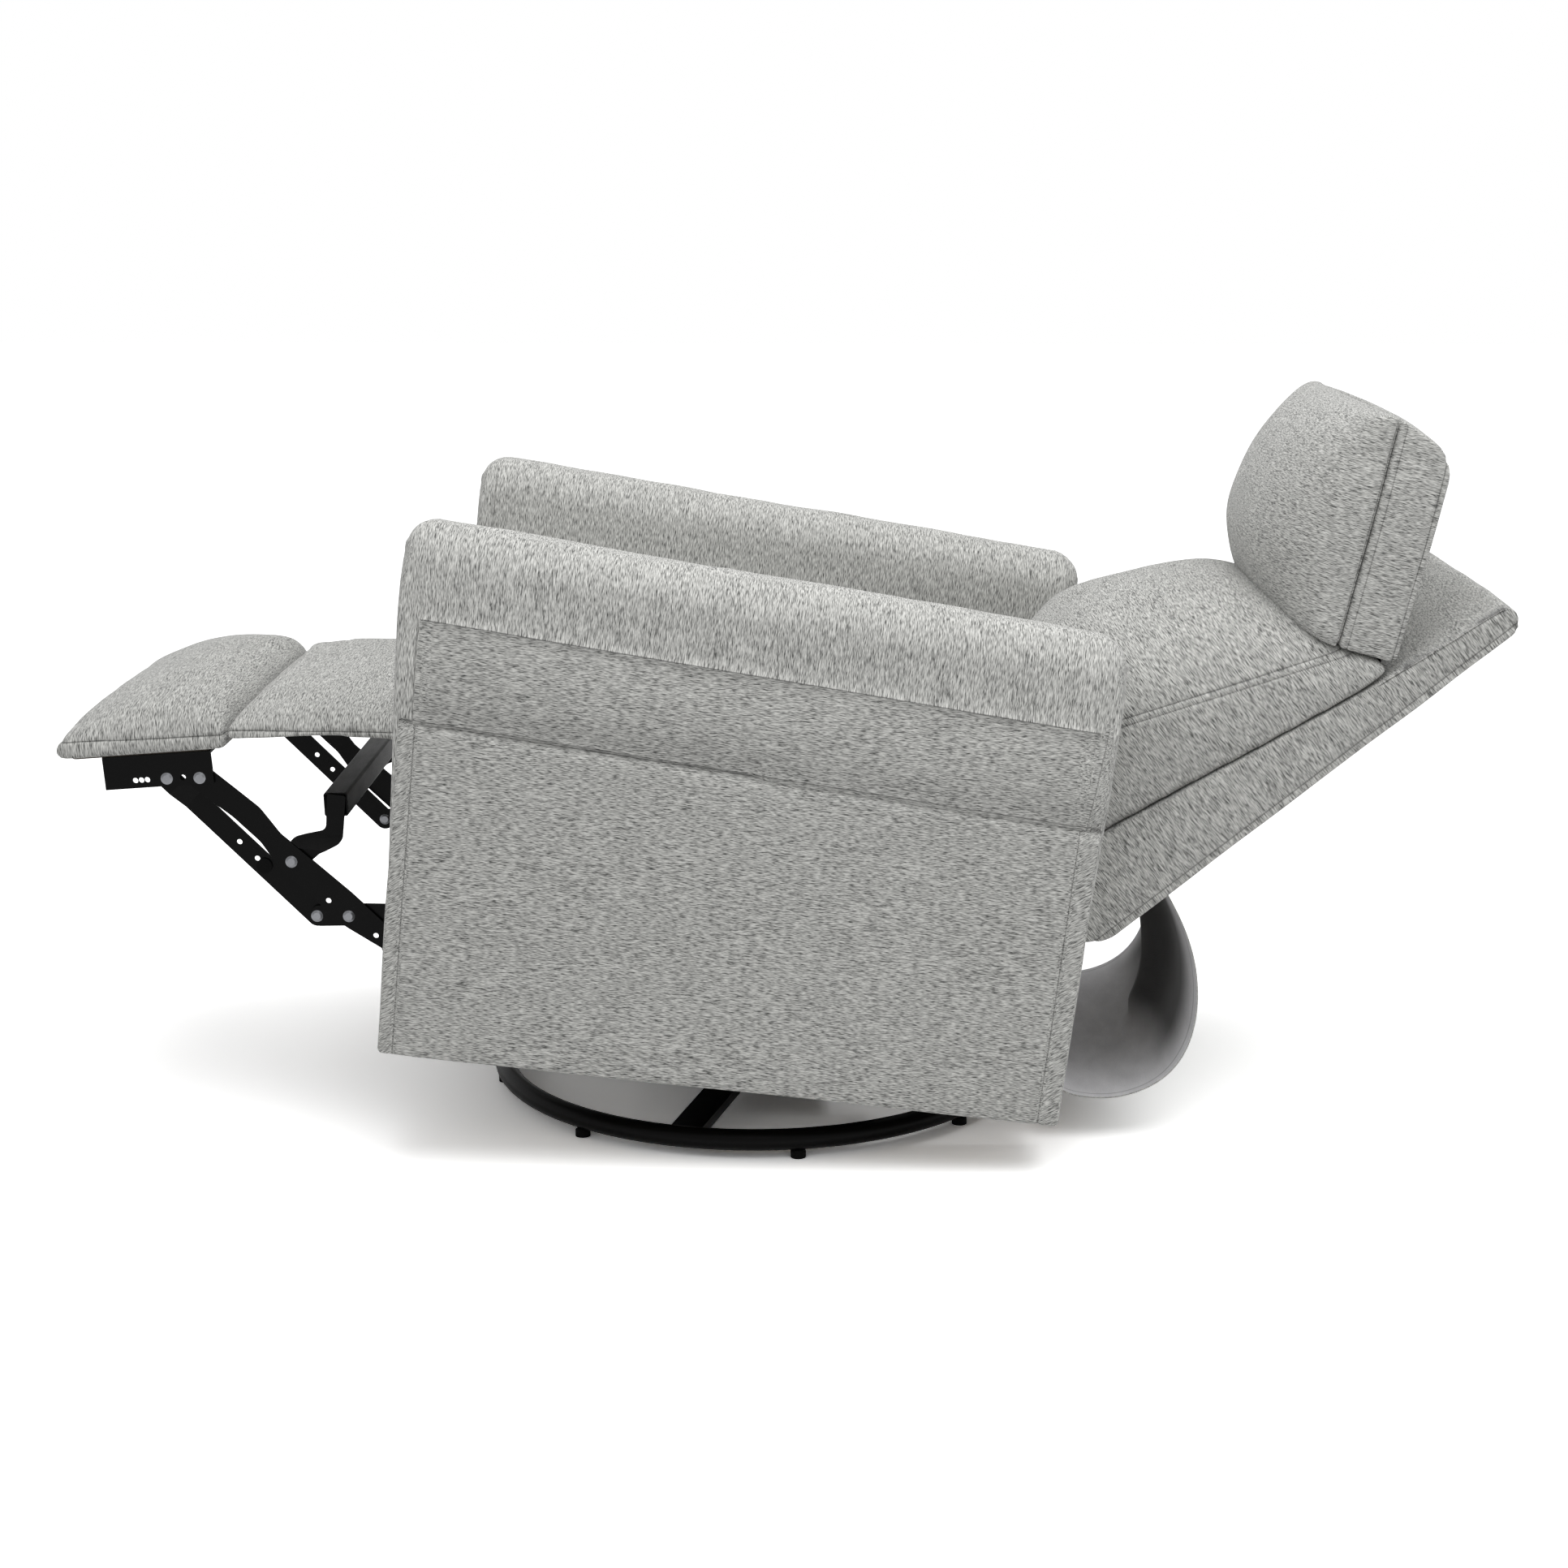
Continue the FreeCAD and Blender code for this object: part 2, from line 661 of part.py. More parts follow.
def makeChassis():
    gauge = d.plate_gauge
    inner = layer(5)
    studHole = d.link_pin_radius + d.seat_gap
    holes = [
        (d.rear_pivot_y, d.rear_pivot_z, studHole),
        (d.guide_pivot_y, d.guide_pivot_z, studHole),
        (d.recline_y, d.recline_z, d.glide_pin_radius + d.seat_gap),
    ]
    leg = [
        (d.rail_front, d.rail_bottom, 8.0),
        (d.rail_rear, d.rail_bottom - 6, 18.0),
        (d.rail_rear, d.rail_arm_top, 18.0),
        (d.rail_step + 50, d.rail_arm_top, 30.0),
        (d.rail_step, d.rail_top, 12.0),
        (d.rail_front, d.rail_top),
    ]
    for side, name in sides:
        rail = newBody(f"{name}_side_rail", bodyFrame)
        sketch = newSketch(rail, "YZ_Plane", inner if side > 0 else -(inner + gauge))
        drawOutline(sketch, leg)
        for hole in holes:
            drawHole(sketch, *hole)
        if side < 0:
            drawHole(sketch, d.lever_pivot_y, d.lever_pivot_z, d.lever_pin_radius + d.seat_gap)
        padSketch(rail, sketch, gauge)
        near = inner - d.rail_flange
        left, right = (near, inner + gauge) if side > 0 else (-(inner + gauge), -near)
        sketch = newSketch(rail, "XY_Plane", d.rail_top - gauge)
        rear = d.rail_step - 12
        drawOutline(sketch, [(left, d.rail_front), (right, d.rail_front), (right, rear), (left, rear)])
        padSketch(rail, sketch, gauge)
        keep(rail)

    tubeReach = inner - d.seat_gap
    tubes = (("front_cross_tube", d.glide_lower_front_y), ("rear_cross_tube", d.glide_lower_rear_y))
    for label, y in tubes:
        tube = newBody(label, bodyFrame)
        sketch = newSketch(tube, "YZ_Plane", -tubeReach)
        drawHole(sketch, y, d.cross_tube_z, d.cross_tube_radius)
        drawHole(sketch, y, d.cross_tube_z, d.cross_tube_radius - d.cross_tube_wall)
        padSketch(tube, sketch, tubeReach * 2)
        keep(tube)

    margin = d.hanger_margin
    outline = [
        (d.glide_lower_front_y - margin, d.glide_lower_z - margin, margin - 1),
        (d.glide_lower_rear_y + margin, d.glide_lower_z - margin, margin - 1),
        (d.glide_lower_rear_y + margin, d.cross_tube_z + margin, margin - 1),
        (d.glide_lower_front_y - margin, d.cross_tube_z + margin, margin - 1),
    ]
    middleY = (d.glide_lower_front_y + d.glide_lower_rear_y) / 2
    middleZ = (d.glide_lower_z + d.cross_tube_z) / 2
    holes = [
        (d.glide_lower_front_y, d.glide_lower_z, d.glide_pin_radius + d.run_gap),
        (d.glide_lower_rear_y, d.glide_lower_z, d.glide_pin_radius + d.run_gap),
        (d.glide_lower_front_y, d.cross_tube_z, d.cross_tube_radius + d.seat_gap),
        (d.glide_lower_rear_y, d.cross_tube_z, d.cross_tube_radius + d.seat_gap),
        (middleY - d.lightening_radius * 1.2, middleZ, d.lightening_radius),
        (middleY + d.lightening_radius * 1.2, middleZ, d.lightening_radius),
    ]
    pins = []
    hangers = []
    for side, name in sides:
        hangers.append(sidePlate(
            f"{name}_glide_hanger", bodyFrame, side, d.hanger_inner, d.hanger_gauge, outline, holes))
        for y in (d.glide_lower_front_y, d.glide_lower_rear_y):
            near = float(d.glide_inner) - 0.2
            far = float(d.hanger_inner + d.hanger_gauge) + 0.1
            pin = rivet(side, near, far, y, d.glide_lower_z, d.glide_pin_radius, headOuter=True)
            washer = Part.makeCylinder(
                float(d.rivet_head_radius) + 3, 1.0,
                Vector(side * near, float(y), float(d.glide_lower_z)), Vector(-side, 0, 0))
            pins.append(pin.fuse(washer).removeSplitter())
    keep(combine("Part::Compound", "glide_hangers", hangers))
    keep(solidPiece("glide_lower_pins", Part.makeCompound(pins), bodyFrame))

    railBottom = d.rail_top + d.seat_gap
    railHalf = d.arm_inner - d.soft_gap
    depth = d.seat_rail_depth
    spans = (
        ("seat_front_rail", d.seat_front + d.webbing_thickness * 2),
        ("seat_rear_rail", d.seat_rear - depth),
    )
    for label, front in spans:
        rail = prism(
            label, bodyFrame, "XY_Plane", railBottom, d.seat_rail_height,
            [(-railHalf, front), (railHalf, front), (railHalf, front + depth), (-railHalf, front + depth)])
        keep(rail)

    webbingBottom = railBottom + d.seat_rail_height + d.seat_gap
    count = int(float(d.webbing_count))
    pitch = d.seat_half_width * 2 / count
    strips = []
    for step in range(count):
        centre = pitch * (step - (count - 1) / 2)
        low = centre - d.webbing_width / 2
        high = centre + d.webbing_width / 2
        front = d.seat_front + d.webbing_thickness * 4
        strips.append(prism(
            f"webbing_strip_{step}", bodyFrame, "XY_Plane", webbingBottom, d.webbing_thickness,
            [(low, front), (high, front), (high, d.seat_rear), (low, d.seat_rear)]))
    keep(combine("Part::Compound", "seat_webbing", strips))

    low = d.arm_bottom + d.webbing_thickness
    keep(prism(
        "lower_rear_rail", bodyFrame, "XZ_Plane", -(d.lower_rail_y + d.lower_rail_depth), d.lower_rail_depth,
        [(-railHalf, low), (railHalf, low), (railHalf, low + d.lower_rail_height),
         (-railHalf, low + d.lower_rail_height)]))
    return float(webbingBottom + d.webbing_thickness + d.seat_gap)


# Soft pads: lofts through sections of straight edges and arcs


def seatWay(across, height, along):
    return Vector(across, along, height)


def backWay(across, height, along):
    return Vector(across, -height, along)


def padSection(way, along, half, low, edge, shoulder, crown):
    # A flat base, upright sides, a round shoulder each side and a crowned top
    def spot(across, height):
        return way(across, height, along)

    shoulderTop = edge + shoulder
    lean = shoulder * (1 - math.sqrt(0.5))
    inner = half - shoulder
    edges = [
        Part.makeLine(spot(-half, low), spot(half, low)),
        Part.makeLine(spot(half, low), spot(half, edge)),
        Part.Arc(spot(half, edge), spot(half - lean, shoulderTop - lean), spot(inner, shoulderTop)).toShape(),
        Part.Arc(spot(inner, shoulderTop), spot(0, shoulderTop + crown), spot(-inner, shoulderTop)).toShape(),
        Part.Arc(spot(-inner, shoulderTop), spot(lean - half, shoulderTop - lean), spot(-half, edge)).toShape(),
        Part.makeLine(spot(-half, edge), spot(-half, low)),
    ]
    return Part.Wire(edges)


def loftPad(way, sections):
    # sections hold (along, half width, base, side edge, shoulder, crown)
    wires = [padSection(way, *[float(number) for number in section]) for section in sections]
    return Part.makeLoft(wires, True, False)


def makeSeat(bottom):
    half = float(d.seat_half_width)
    edge = float(d.seat_edge)
    crown = float(d.seat_crown)
    front = float(d.cushion_front)
    rear = float(d.seat_rear)
    length = rear - front
    sections = []
    for share, drawIn, drop, swell in (
            (0.0, 8, 46, 0.25), (0.03, 3, 24, 0.4), (0.12, 0, 6, 0.75), (0.35, 3, 0, 1.0),
            (0.65, 3, 0, 1.0), (0.9, 0, 8, 0.75), (1.0, 6, 30, 0.35)):
        sections.append((front + share * length, half - drawIn, bottom, edge - drop, 14, crown * swell))
    keep(solidPiece("seat_cushion", loftPad(seatWay, sections), bodyFrame))


# Arms: plywood frame, upholstered pad with its roll, and the outer pocket panel


def sideOutline(topFront, topRear, frontRound, rearRound, inset=0.0):
    # The arm's side view between its bottom and a top line, drawn in by an inset
    front = d.arm_front_bottom + inset
    rear = d.arm_rear_bottom - inset
    lean = (d.arm_front_top - d.arm_front_bottom) / (d.arm_front_height - d.arm_bottom)
    rearLean = (d.arm_rear_top - d.arm_rear_bottom) / (d.arm_front_height - d.arm_bottom)
    low = d.arm_bottom
    return [
        (front, low),
        (rear, low),
        (rear + rearLean * (topRear - low), topRear, rearRound),
        (front + lean * (topFront - low), topFront, frontRound),
    ]


def makeArms():
    drop = math.tan(math.radians(float(d.arm_slope)))
    run = d.arm_rear_top - d.arm_front_top
    topFront = d.arm_front_height
    topRear = d.arm_front_height - run * drop
    inner = d.arm_inner
    outer = d.arm_outer - d.pocket_gap - d.pocket_wall
    for side, name in sides:
        section = [
            (inner, 0.0), (outer, 0.0), (outer, topFront - d.arm_bottom, d.arm_round),
            (inner, topFront - d.arm_bottom, d.arm_round),
        ]
        if side < 0:
            section = [(-corner[0],) + corner[1:] for corner in section]
        start = d.arm_front_top - d.arm_round
        length = run + d.arm_round * 2
        slopeFrame = place(start, d.arm_bottom, -d.arm_slope) * place(0, d.arm_round * drop)
        blank = prism(f"{name}_arm_section", slopeFrame, "XZ_Plane", -length, length, section)
        profile = sidePlate(
            f"{name}_arm_profile", place(), side, inner, d.arm_outer - inner,
            sideOutline(topFront, topRear, d.arm_front_round, d.arm_rear_round))
        form = combine("Part::Common", f"{name}_arm_form", [blank, profile])

        clear = d.seat_gap
        frameTopFront = topFront - d.frame_headroom
        frameTopRear = topRear - d.frame_headroom
        cavity = sidePlate(
            f"{name}_frame_cavity", place(), side, d.frame_inner - clear, d.frame_gauge + clear * 2,
            sideOutline(frameTopFront + clear, frameTopRear + clear, 20.0, 20.0, d.frame_inset - clear))
        pad = combine("Part::Cut", f"{name}_arm_pad", [form, cavity], bodyFrame)

        frameHoles = []
        for share in (0.2, 0.5, 0.8):
            y = d.arm_front_bottom + (d.arm_rear_bottom - d.arm_front_bottom) * share
            for height in (0.3, 0.7):
                z = d.arm_bottom + (topRear - d.frame_headroom - d.arm_bottom) * height
                frameHoles.append((y, z, d.frame_hole_radius))
        frame = sidePlate(
            f"{name}_arm_frame", bodyFrame, side, d.frame_inner, d.frame_gauge,
            sideOutline(frameTopFront, frameTopRear, 20.0, 20.0, d.frame_inset), frameHoles)

        panelInner = outer + clear
        tray = sidePlate(
            f"{name}_pocket_blank", place(), side, panelInner, d.pocket_gap + d.pocket_wall,
            sideOutline(d.pocket_front_z, d.pocket_rear_z, 0.0, 0.0))
        border = d.pocket_border
        hollow = sidePlate(
            f"{name}_pocket_hollow", place(), side, panelInner - 1, d.pocket_gap + 1,
            [(d.arm_front_bottom + border, d.arm_bottom + border), (d.arm_rear_bottom - border, d.arm_bottom + border),
             (d.arm_rear_bottom - border, d.pocket_front_z + border),
             (d.arm_front_bottom + border, d.pocket_front_z + border)])
        panel = combine("Part::Cut", f"{name}_pocket_panel", [tray, hollow], bodyFrame)
        keep(pad, frame, panel)


# Rear skirt: a cloth that hangs in a loop from the back's lower edge to the lower rear rail


def bodyFromBack(depth, height):
    turn = math.radians(float(d.back_lean))
    y = float(d.recline_y) + math.cos(turn) * float(depth) + math.sin(turn) * float(height)
    z = float(d.recline_z) - math.sin(turn) * float(depth) + math.cos(turn) * float(height)
    return Vector(0, y, z)


def makeSkirt():
    top = bodyFromBack(d.back_rear + d.soft_gap, d.back_bottom_rear + 62)
    hem = d.lower_rail_y + d.lower_rail_depth + d.seat_gap
    bottom = Vector(0, float(hem), float(d.arm_bottom) + 3)
    sewn = bottom + Vector(0, 0, float(d.lower_rail_height) * 0.6)
    bulge = Vector(0, float(d.arm_rear_bottom + d.skirt_bulge), float(top.z + bottom.z) * 0.53)
    low = Vector(0, float(d.arm_rear_bottom + d.skirt_low_bulge), float(bottom.z) + 18)
    high = (top + bulge) * 0.5 + Vector(0, 14, 4)
    under = (low + bottom) * 0.5 + Vector(0, 6, -13)
    belly = (bulge + low) * 0.5 + Vector(0, 14, -6)
    path = Part.Wire([
        Part.Arc(top, high, bulge).toShape(),
        Part.Arc(bulge, belly, low).toShape(),
        Part.Arc(low, under, bottom).toShape(),
        Part.makeLine(bottom, sewn),
    ])
    face = path.makeOffset2D(float(d.skirt_thickness), 0, True, True, False)
    half = float(d.skirt_half_width)
    face.translate(Vector(-half, 0, 0))
    keep(solidPiece("rear_skirt", face.extrude(Vector(2 * half, 0, 0)), bodyFrame))


# Back: shell with its band, board, crowned cushion and the brackets on the recline pivot


def makeBack():
    half = d.back_half_width
    outline = [
        (d.band_low_depth, d.back_bottom, 12.0),
        (d.back_rear - 22, d.back_bottom, 14.0),
        (d.back_rear, d.back_bottom_rear + 12, 18.0),
        (d.back_rear, d.back_top, d.back_top_round),
        (d.back_top_depth, d.back_top, d.back_top_round),
        (d.band_high_depth, d.band_high, 30.0),
    ]
    shell = prism("back_shell_blank", place(), "YZ_Plane", -half, half * 2, outline)
    clear = d.soft_gap
    cavityHalf = layer(4) + d.plate_gauge + clear * 2
    cavity = prism(
        "back_board_cavity", place(), "YZ_Plane", -cavityHalf, cavityHalf * 2,
        [(d.board_front - clear, d.back_bottom - 10), (d.board_front + d.board_gauge + clear, d.back_bottom - 10),
         (d.board_front + d.board_gauge + clear, d.board_top + clear), (d.board_front - clear, d.board_top + clear)])
    backShell = combine("Part::Cut", "back_shell", [shell, cavity], backFrame)

    holes = []
    for across in (-0.5, 0.0, 0.5):
        for share in (0.28, 0.5, 0.72):
            holes.append((d.board_half_width * across, d.board_bottom + (d.board_top - d.board_bottom) * share, 42.0))
    wide = d.board_half_width
    board = prism(
        "back_board", backFrame, "XZ_Plane", -(d.board_front + d.board_gauge), d.board_gauge,
        [(-wide, d.board_bottom + 10, 3.0), (wide, d.board_bottom + 10, 3.0), (wide, d.board_top, 10.0),
         (-wide, d.board_top, 10.0)], holes)

    rise = float(d.band_high - d.back_bottom)

    def bandDepth(height):
        share = (height - float(d.back_bottom)) / rise
        low = float(d.band_low_depth)
        return low + (float(d.band_high_depth) - low) * share

    sections = []
    gap = float(d.soft_gap)
    wideHalf = float(half)
    crown = float(d.back_crown)
    for height, thick, drawIn, swell in (
            (31, 36, 9, 0.2), (60, 62, 3, 0.4), (125, 92, 0, 0.62), (250, 106, 2, 1.0),
            (370, 86, 0, 0.82), (450, 56, 1, 0.3), (474, 38, 6, 0.12)):
        base = -bandDepth(height) + gap
        sections.append((height, wideHalf - drawIn, base, base + thick - 14, 14, crown * swell))
    cushion = solidPiece("back_cushion", loftPad(backWay, sections), backFrame)
    keep(backShell, board, cushion)

    reach = d.back_bracket_width / 2
    armFront = d.board_front + 0.2
    armRear = d.board_front + d.board_gauge - 0.2
    outline = [
        (-reach, -reach, reach * 0.95),
        (reach, -reach, reach * 0.8),
        (armRear, reach - 5, 10.0),
        (armRear, d.back_bracket_top, 2.0),
        (armFront, d.back_bracket_top, 2.0),
        (armFront, d.back_bottom - 3, 2.0),
        (reach * 0.6, d.back_bottom - 3, 6.0),
        (-reach, reach * 0.7, reach * 0.6),
    ]
    brackets = []
    bolts = []
    for side, name in sides:
        bracket = sidePlate(
            f"{name}_back_bracket", backFrame, side, layer(4), d.plate_gauge, outline,
            [(0.0, 0.0, d.glide_pin_radius + d.run_gap)])
        brackets.append(bracket)
        near = float(layer(5)) - 0.1
        far = float(layer(4) + d.plate_gauge) + 0.2
        bolts.append(rivet(side, near, far, d.recline_y, d.recline_z, d.glide_pin_radius, headInner=True))
    keep(combine("Part::Compound", "back_brackets", brackets))
    keep(solidPiece("recline_bolts", Part.makeCompound(bolts), bodyFrame))


def makeHeadrest():
    half = float(d.head_half_width)
    depth = float(d.head_depth)
    bottom = float(d.head_bottom)
    top = bottom + float(d.head_height)
    shell = prism(
        "headrest_shell_blank", place(), "YZ_Plane", -d.head_half_width, d.head_half_width * 2,
        [(-d.head_depth, d.head_bottom + 2, 6.0), (0.0, d.head_bottom, 7.0),
         (0.0, d.head_bottom + d.head_height - 8, 22.0), (-d.head_depth, d.head_bottom + d.head_height + 16, 10.0)])
    clear = d.soft_gap
    slotHalf = d.head_half_width - d.head_board_inset
    boardFront = -d.head_board - d.head_board_cover
    boardTop = d.head_bottom + d.head_height - d.head_board_below
    cavity = prism(
        "headrest_board_cavity", place(), "YZ_Plane", -slotHalf, slotHalf * 2,
        [(boardFront - clear, d.head_bottom - 20), (clear - d.head_board_cover, d.head_bottom - 20),
         (clear - d.head_board_cover, boardTop + clear), (boardFront - clear, boardTop + clear)])
    headShell = combine("Part::Cut", "headrest_shell", [shell, cavity], headFrame)
    headBoard = prism(
        "headrest_board", headFrame, "YZ_Plane", clear - slotHalf, (slotHalf - clear) * 2,
        [(boardFront, d.head_bottom + 4), (-d.head_board_cover, d.head_bottom + 4),
         (-d.head_board_cover, boardTop), (boardFront, boardTop)])
    crown = float(d.head_crown)
    base = depth + float(d.soft_gap)
    tall = float(d.head_height) + 14
    sections = []
    for share, thick, drawIn, swell in (
            (0.0, 5, 10, 0.12), (0.06, 14, 4, 0.3), (0.25, 22, 1, 0.84), (0.5, 24, 3, 1.0),
            (0.75, 22, 1, 0.9), (0.93, 14, 4, 0.5), (1.0, 5, 10, 0.2)):
        shoulder = 4 if thick < 10 else 10
        sections.append((bottom + 2 + tall * share, half - drawIn, base, base + thick - shoulder, shoulder,
                         (crown - 24) * swell))
    headCushion = solidPiece("headrest_cushion", loftPad(backWay, sections), headFrame)
    keep(headShell, headBoard, headCushion)

    # The hinge axis is the origin line of the headrest frame
    rod = float(d.hinge_rod_radius)
    knuckle = float(d.hinge_knuckle_radius)
    length = float(d.hinge_knuckle_length)
    spread = float(d.hinge_spread)
    fixed = []
    moving = []
    for side in (1, -1):
        for offset, group in ((0.0, fixed), (length + 1.0, moving)):
            start = spread + offset if side > 0 else -spread - offset - length
            barrel = Part.makeCylinder(knuckle, length, Vector(start, 0, 0), Vector(1, 0, 0))
            if group is fixed:
                web = Part.makeBox(length, float(d.band_high_depth - d.head_hinge_depth) + 2.0, knuckle,
                                   Vector(start, 0, -knuckle))
                turn = Rotation(Vector(1, 0, 0), -float(d.head_lean))
                web.Placement = Placement(Vector(), turn) * web.Placement
                group.append(barrel.fuse(web))
            else:
                web = Part.makeBox(length, 6.0, float(d.head_bottom) + 3.6, Vector(start, -20.0, -knuckle + 5.5))
                arm = Part.makeBox(length, 20.0, 4.0, Vector(start, -20.0, -2.0))
                hole = Part.makeCylinder(rod + float(d.run_gap), length, Vector(start, 0, 0), Vector(1, 0, 0))
                group.append(barrel.fuse([web, arm]).cut(hole))
        pin = Part.makeCylinder(rod, length * 2 + 4, Vector(spread if side > 0 else -spread - 2 * length - 4, 0, 0),
                                Vector(1, 0, 0))
        fixed[-1] = fixed[-1].fuse(pin).removeSplitter()
    keep(solidPiece("headrest_hinge_lugs", Part.makeCompound(fixed), headFrame))
    keep(solidPiece("headrest_hinge_leaves", Part.makeCompound(moving), headFrame))


# Footrest: board under the front pad, two pads with a channel between them, and steel brackets


def makeFootrest():
    half = float(d.pad_half_width)
    length = float(d.pad_length)
    channel = float(d.pad_channel)
    border = float(d.pad_border)
    crown = float(d.pad_crown)
    sections = []
    run = length - channel
    for share, edge, drawIn, swell in (
            (0.0, -9, 8, 0.2), (0.05, -3, 2, 0.36), (0.25, 2, 0, 0.7), (0.55, 3, 1, 1.0),
            (0.85, 1, 1, 1.0), (0.98, -4, 2, 0.6), (1.0, -8, 4, 0.5)):
        sections.append((-length + run * share, half - drawIn, -border, edge, 9, (crown - 9) * swell))
    front = loftPad(seatWay, sections)
    gap = float(d.soft_gap)
    boardHalf = half - float(d.pad_board_inset)
    recess = Part.makeBox(
        2 * (boardHalf + gap), float(d.pad_board_front - d.pad_board_rear) + 2 * gap, float(d.pad_board) + 10 + gap,
        Vector(-boardHalf - gap, -float(d.pad_board_front) - gap, -border - 10))
    keep(solidPiece("footrest_front_cushion", front.cut(recess), padFrame))

    rearBorder = float(d.pad_rear_border)
    rearCrown = float(d.pad_rear_crown)
    sections = []
    for share, edge, drop, drawIn, swell in (
            (0.0, -2, 0, 4, 0.6), (0.04, 0, 0, 2, 0.8), (0.4, 0, 1, 0, 1.0),
            (0.8, -6, 5, 1, 0.85), (0.97, -16, 12, 3, 0.5), (1.0, -20, 14, 6, 0.35)):
        low = -rearBorder - drop
        start = gap - channel
        sections.append((start - start * share, half - drawIn, low, max(edge, low + 2), 7,
                         (rearCrown - 7) * swell))
    keep(solidPiece("footrest_rear_cushion", loftPad(seatWay, sections), padFrame))

    keep(prism(
        "footrest_board", padFrame, "XY_Plane", -d.pad_border, d.pad_board,
        [(-d.pad_half_width + d.pad_board_inset, -d.pad_board_front, 8.0),
         (d.pad_half_width - d.pad_board_inset, -d.pad_board_front, 8.0),
         (d.pad_half_width - d.pad_board_inset, -d.pad_board_rear, 3.0),
         (-d.pad_half_width + d.pad_board_inset, -d.pad_board_rear, 3.0)]))

    rearPivot = padPoint(d.bracket_rear_y, d.bracket_rear_z)
    frontPivot = padPoint(d.bracket_front_y, d.bracket_front_z)
    brackets = []
    rivets = []
    top = -d.pad_border - d.seat_gap
    gauge = d.plate_gauge
    for side, name in sides:
        bracket = newBody(f"{name}_footrest_bracket", padFrame)
        outer = layer(0) + gauge
        near = outer - d.foot_bracket_flange
        sketch = newSketch(bracket, "XZ_Plane", d.foot_bracket_rear)
        profile = [
            (layer(0), top - d.foot_bracket_drop), (outer, top - d.foot_bracket_drop), (outer, top),
            (near, top), (near, top - gauge), (layer(0), top - gauge),
        ]
        if side < 0:
            profile = [(-across, up) for across, up in profile]
        drawOutline(sketch, profile)
        padSketch(bracket, sketch, d.foot_bracket_front - d.foot_bracket_rear)
        sketch = newSketch(bracket, "YZ_Plane", layer(0) if side > 0 else -outer)
        drawHole(sketch, rearPivot[0], rearPivot[1], d.link_pin_radius + d.seat_gap)
        drawHole(sketch, frontPivot[0], frontPivot[1], d.link_pin_radius + d.seat_gap)
        for step in (0.5, 1.5, 2.05, 2.6):
            across = frontPivot[0] + 18.8 if step == 0.5 else frontPivot[0] - 12.5 * step - 4
            drawHole(sketch, across, frontPivot[1], 3.3)
        pocketSketch(bracket, sketch, gauge, reverse=True)
        brackets.append(bracket)
        near = float(layer(1)) - 0.2
        far = float(layer(0) + gauge) + 0.1
        rivets.append(rivet(side, near, far, rearPivot[0], rearPivot[1], d.link_pin_radius, headInner=True))
        rivets.append(rivet(side, near, far, frontPivot[0], frontPivot[1], d.link_pin_radius, headInner=True))
    keep(combine("Part::Compound", "footrest_brackets", brackets))
    keep(solidPiece("footrest_rivets", Part.makeCompound(rivets), padFrame))


def padPoint(y, z):
    # A point of the body's frame seen in the footrest pad's frame
    turn = math.radians(float(d.pad_slope))
    across = float(y) - float(d.pad_origin_y)
    up = float(z) - float(d.pad_origin_z)
    return (math.cos(turn) * across + math.sin(turn) * up, math.cos(turn) * up - math.sin(turn) * across)


# Footrest linkage: rear and guide links, main links with their cross tube, cranks, front links


def strip(label, start, end, inner, extra=0.0, holes=(), looseEnd=None):
    # A pair of straight links between two pivots, drawn along their own line
    y = float(start[0])
    z = float(start[1])
    reach = math.hypot(float(end[0]) - y, float(end[1]) - z)
    swing = math.degrees(math.atan2(float(end[1]) - z, float(end[0]) - y))
    frame = bodyFrame * place(y, z, swing)
    half = d.link_width / 2
    outline = [
        (-half, -half, half * 0.98), (reach + half + extra, -half, half * 0.98),
        (reach + half + extra, half, half * 0.98), (-half, half, half * 0.98),
    ]
    loose = d.link_pin_radius + (d.run_gap if looseEnd is None else looseEnd)
    drilled = [(0.0, 0.0, d.link_pin_radius + d.run_gap), (reach, 0.0, loose)]
    for share in holes:
        drilled.append((reach * share, 0.0, 3.3))
    pair = []
    for side, name in sides:
        pair.append(sidePlate(f"{name}_{label}", frame, side, inner, d.plate_gauge, outline, drilled))
    return pair, frame, reach


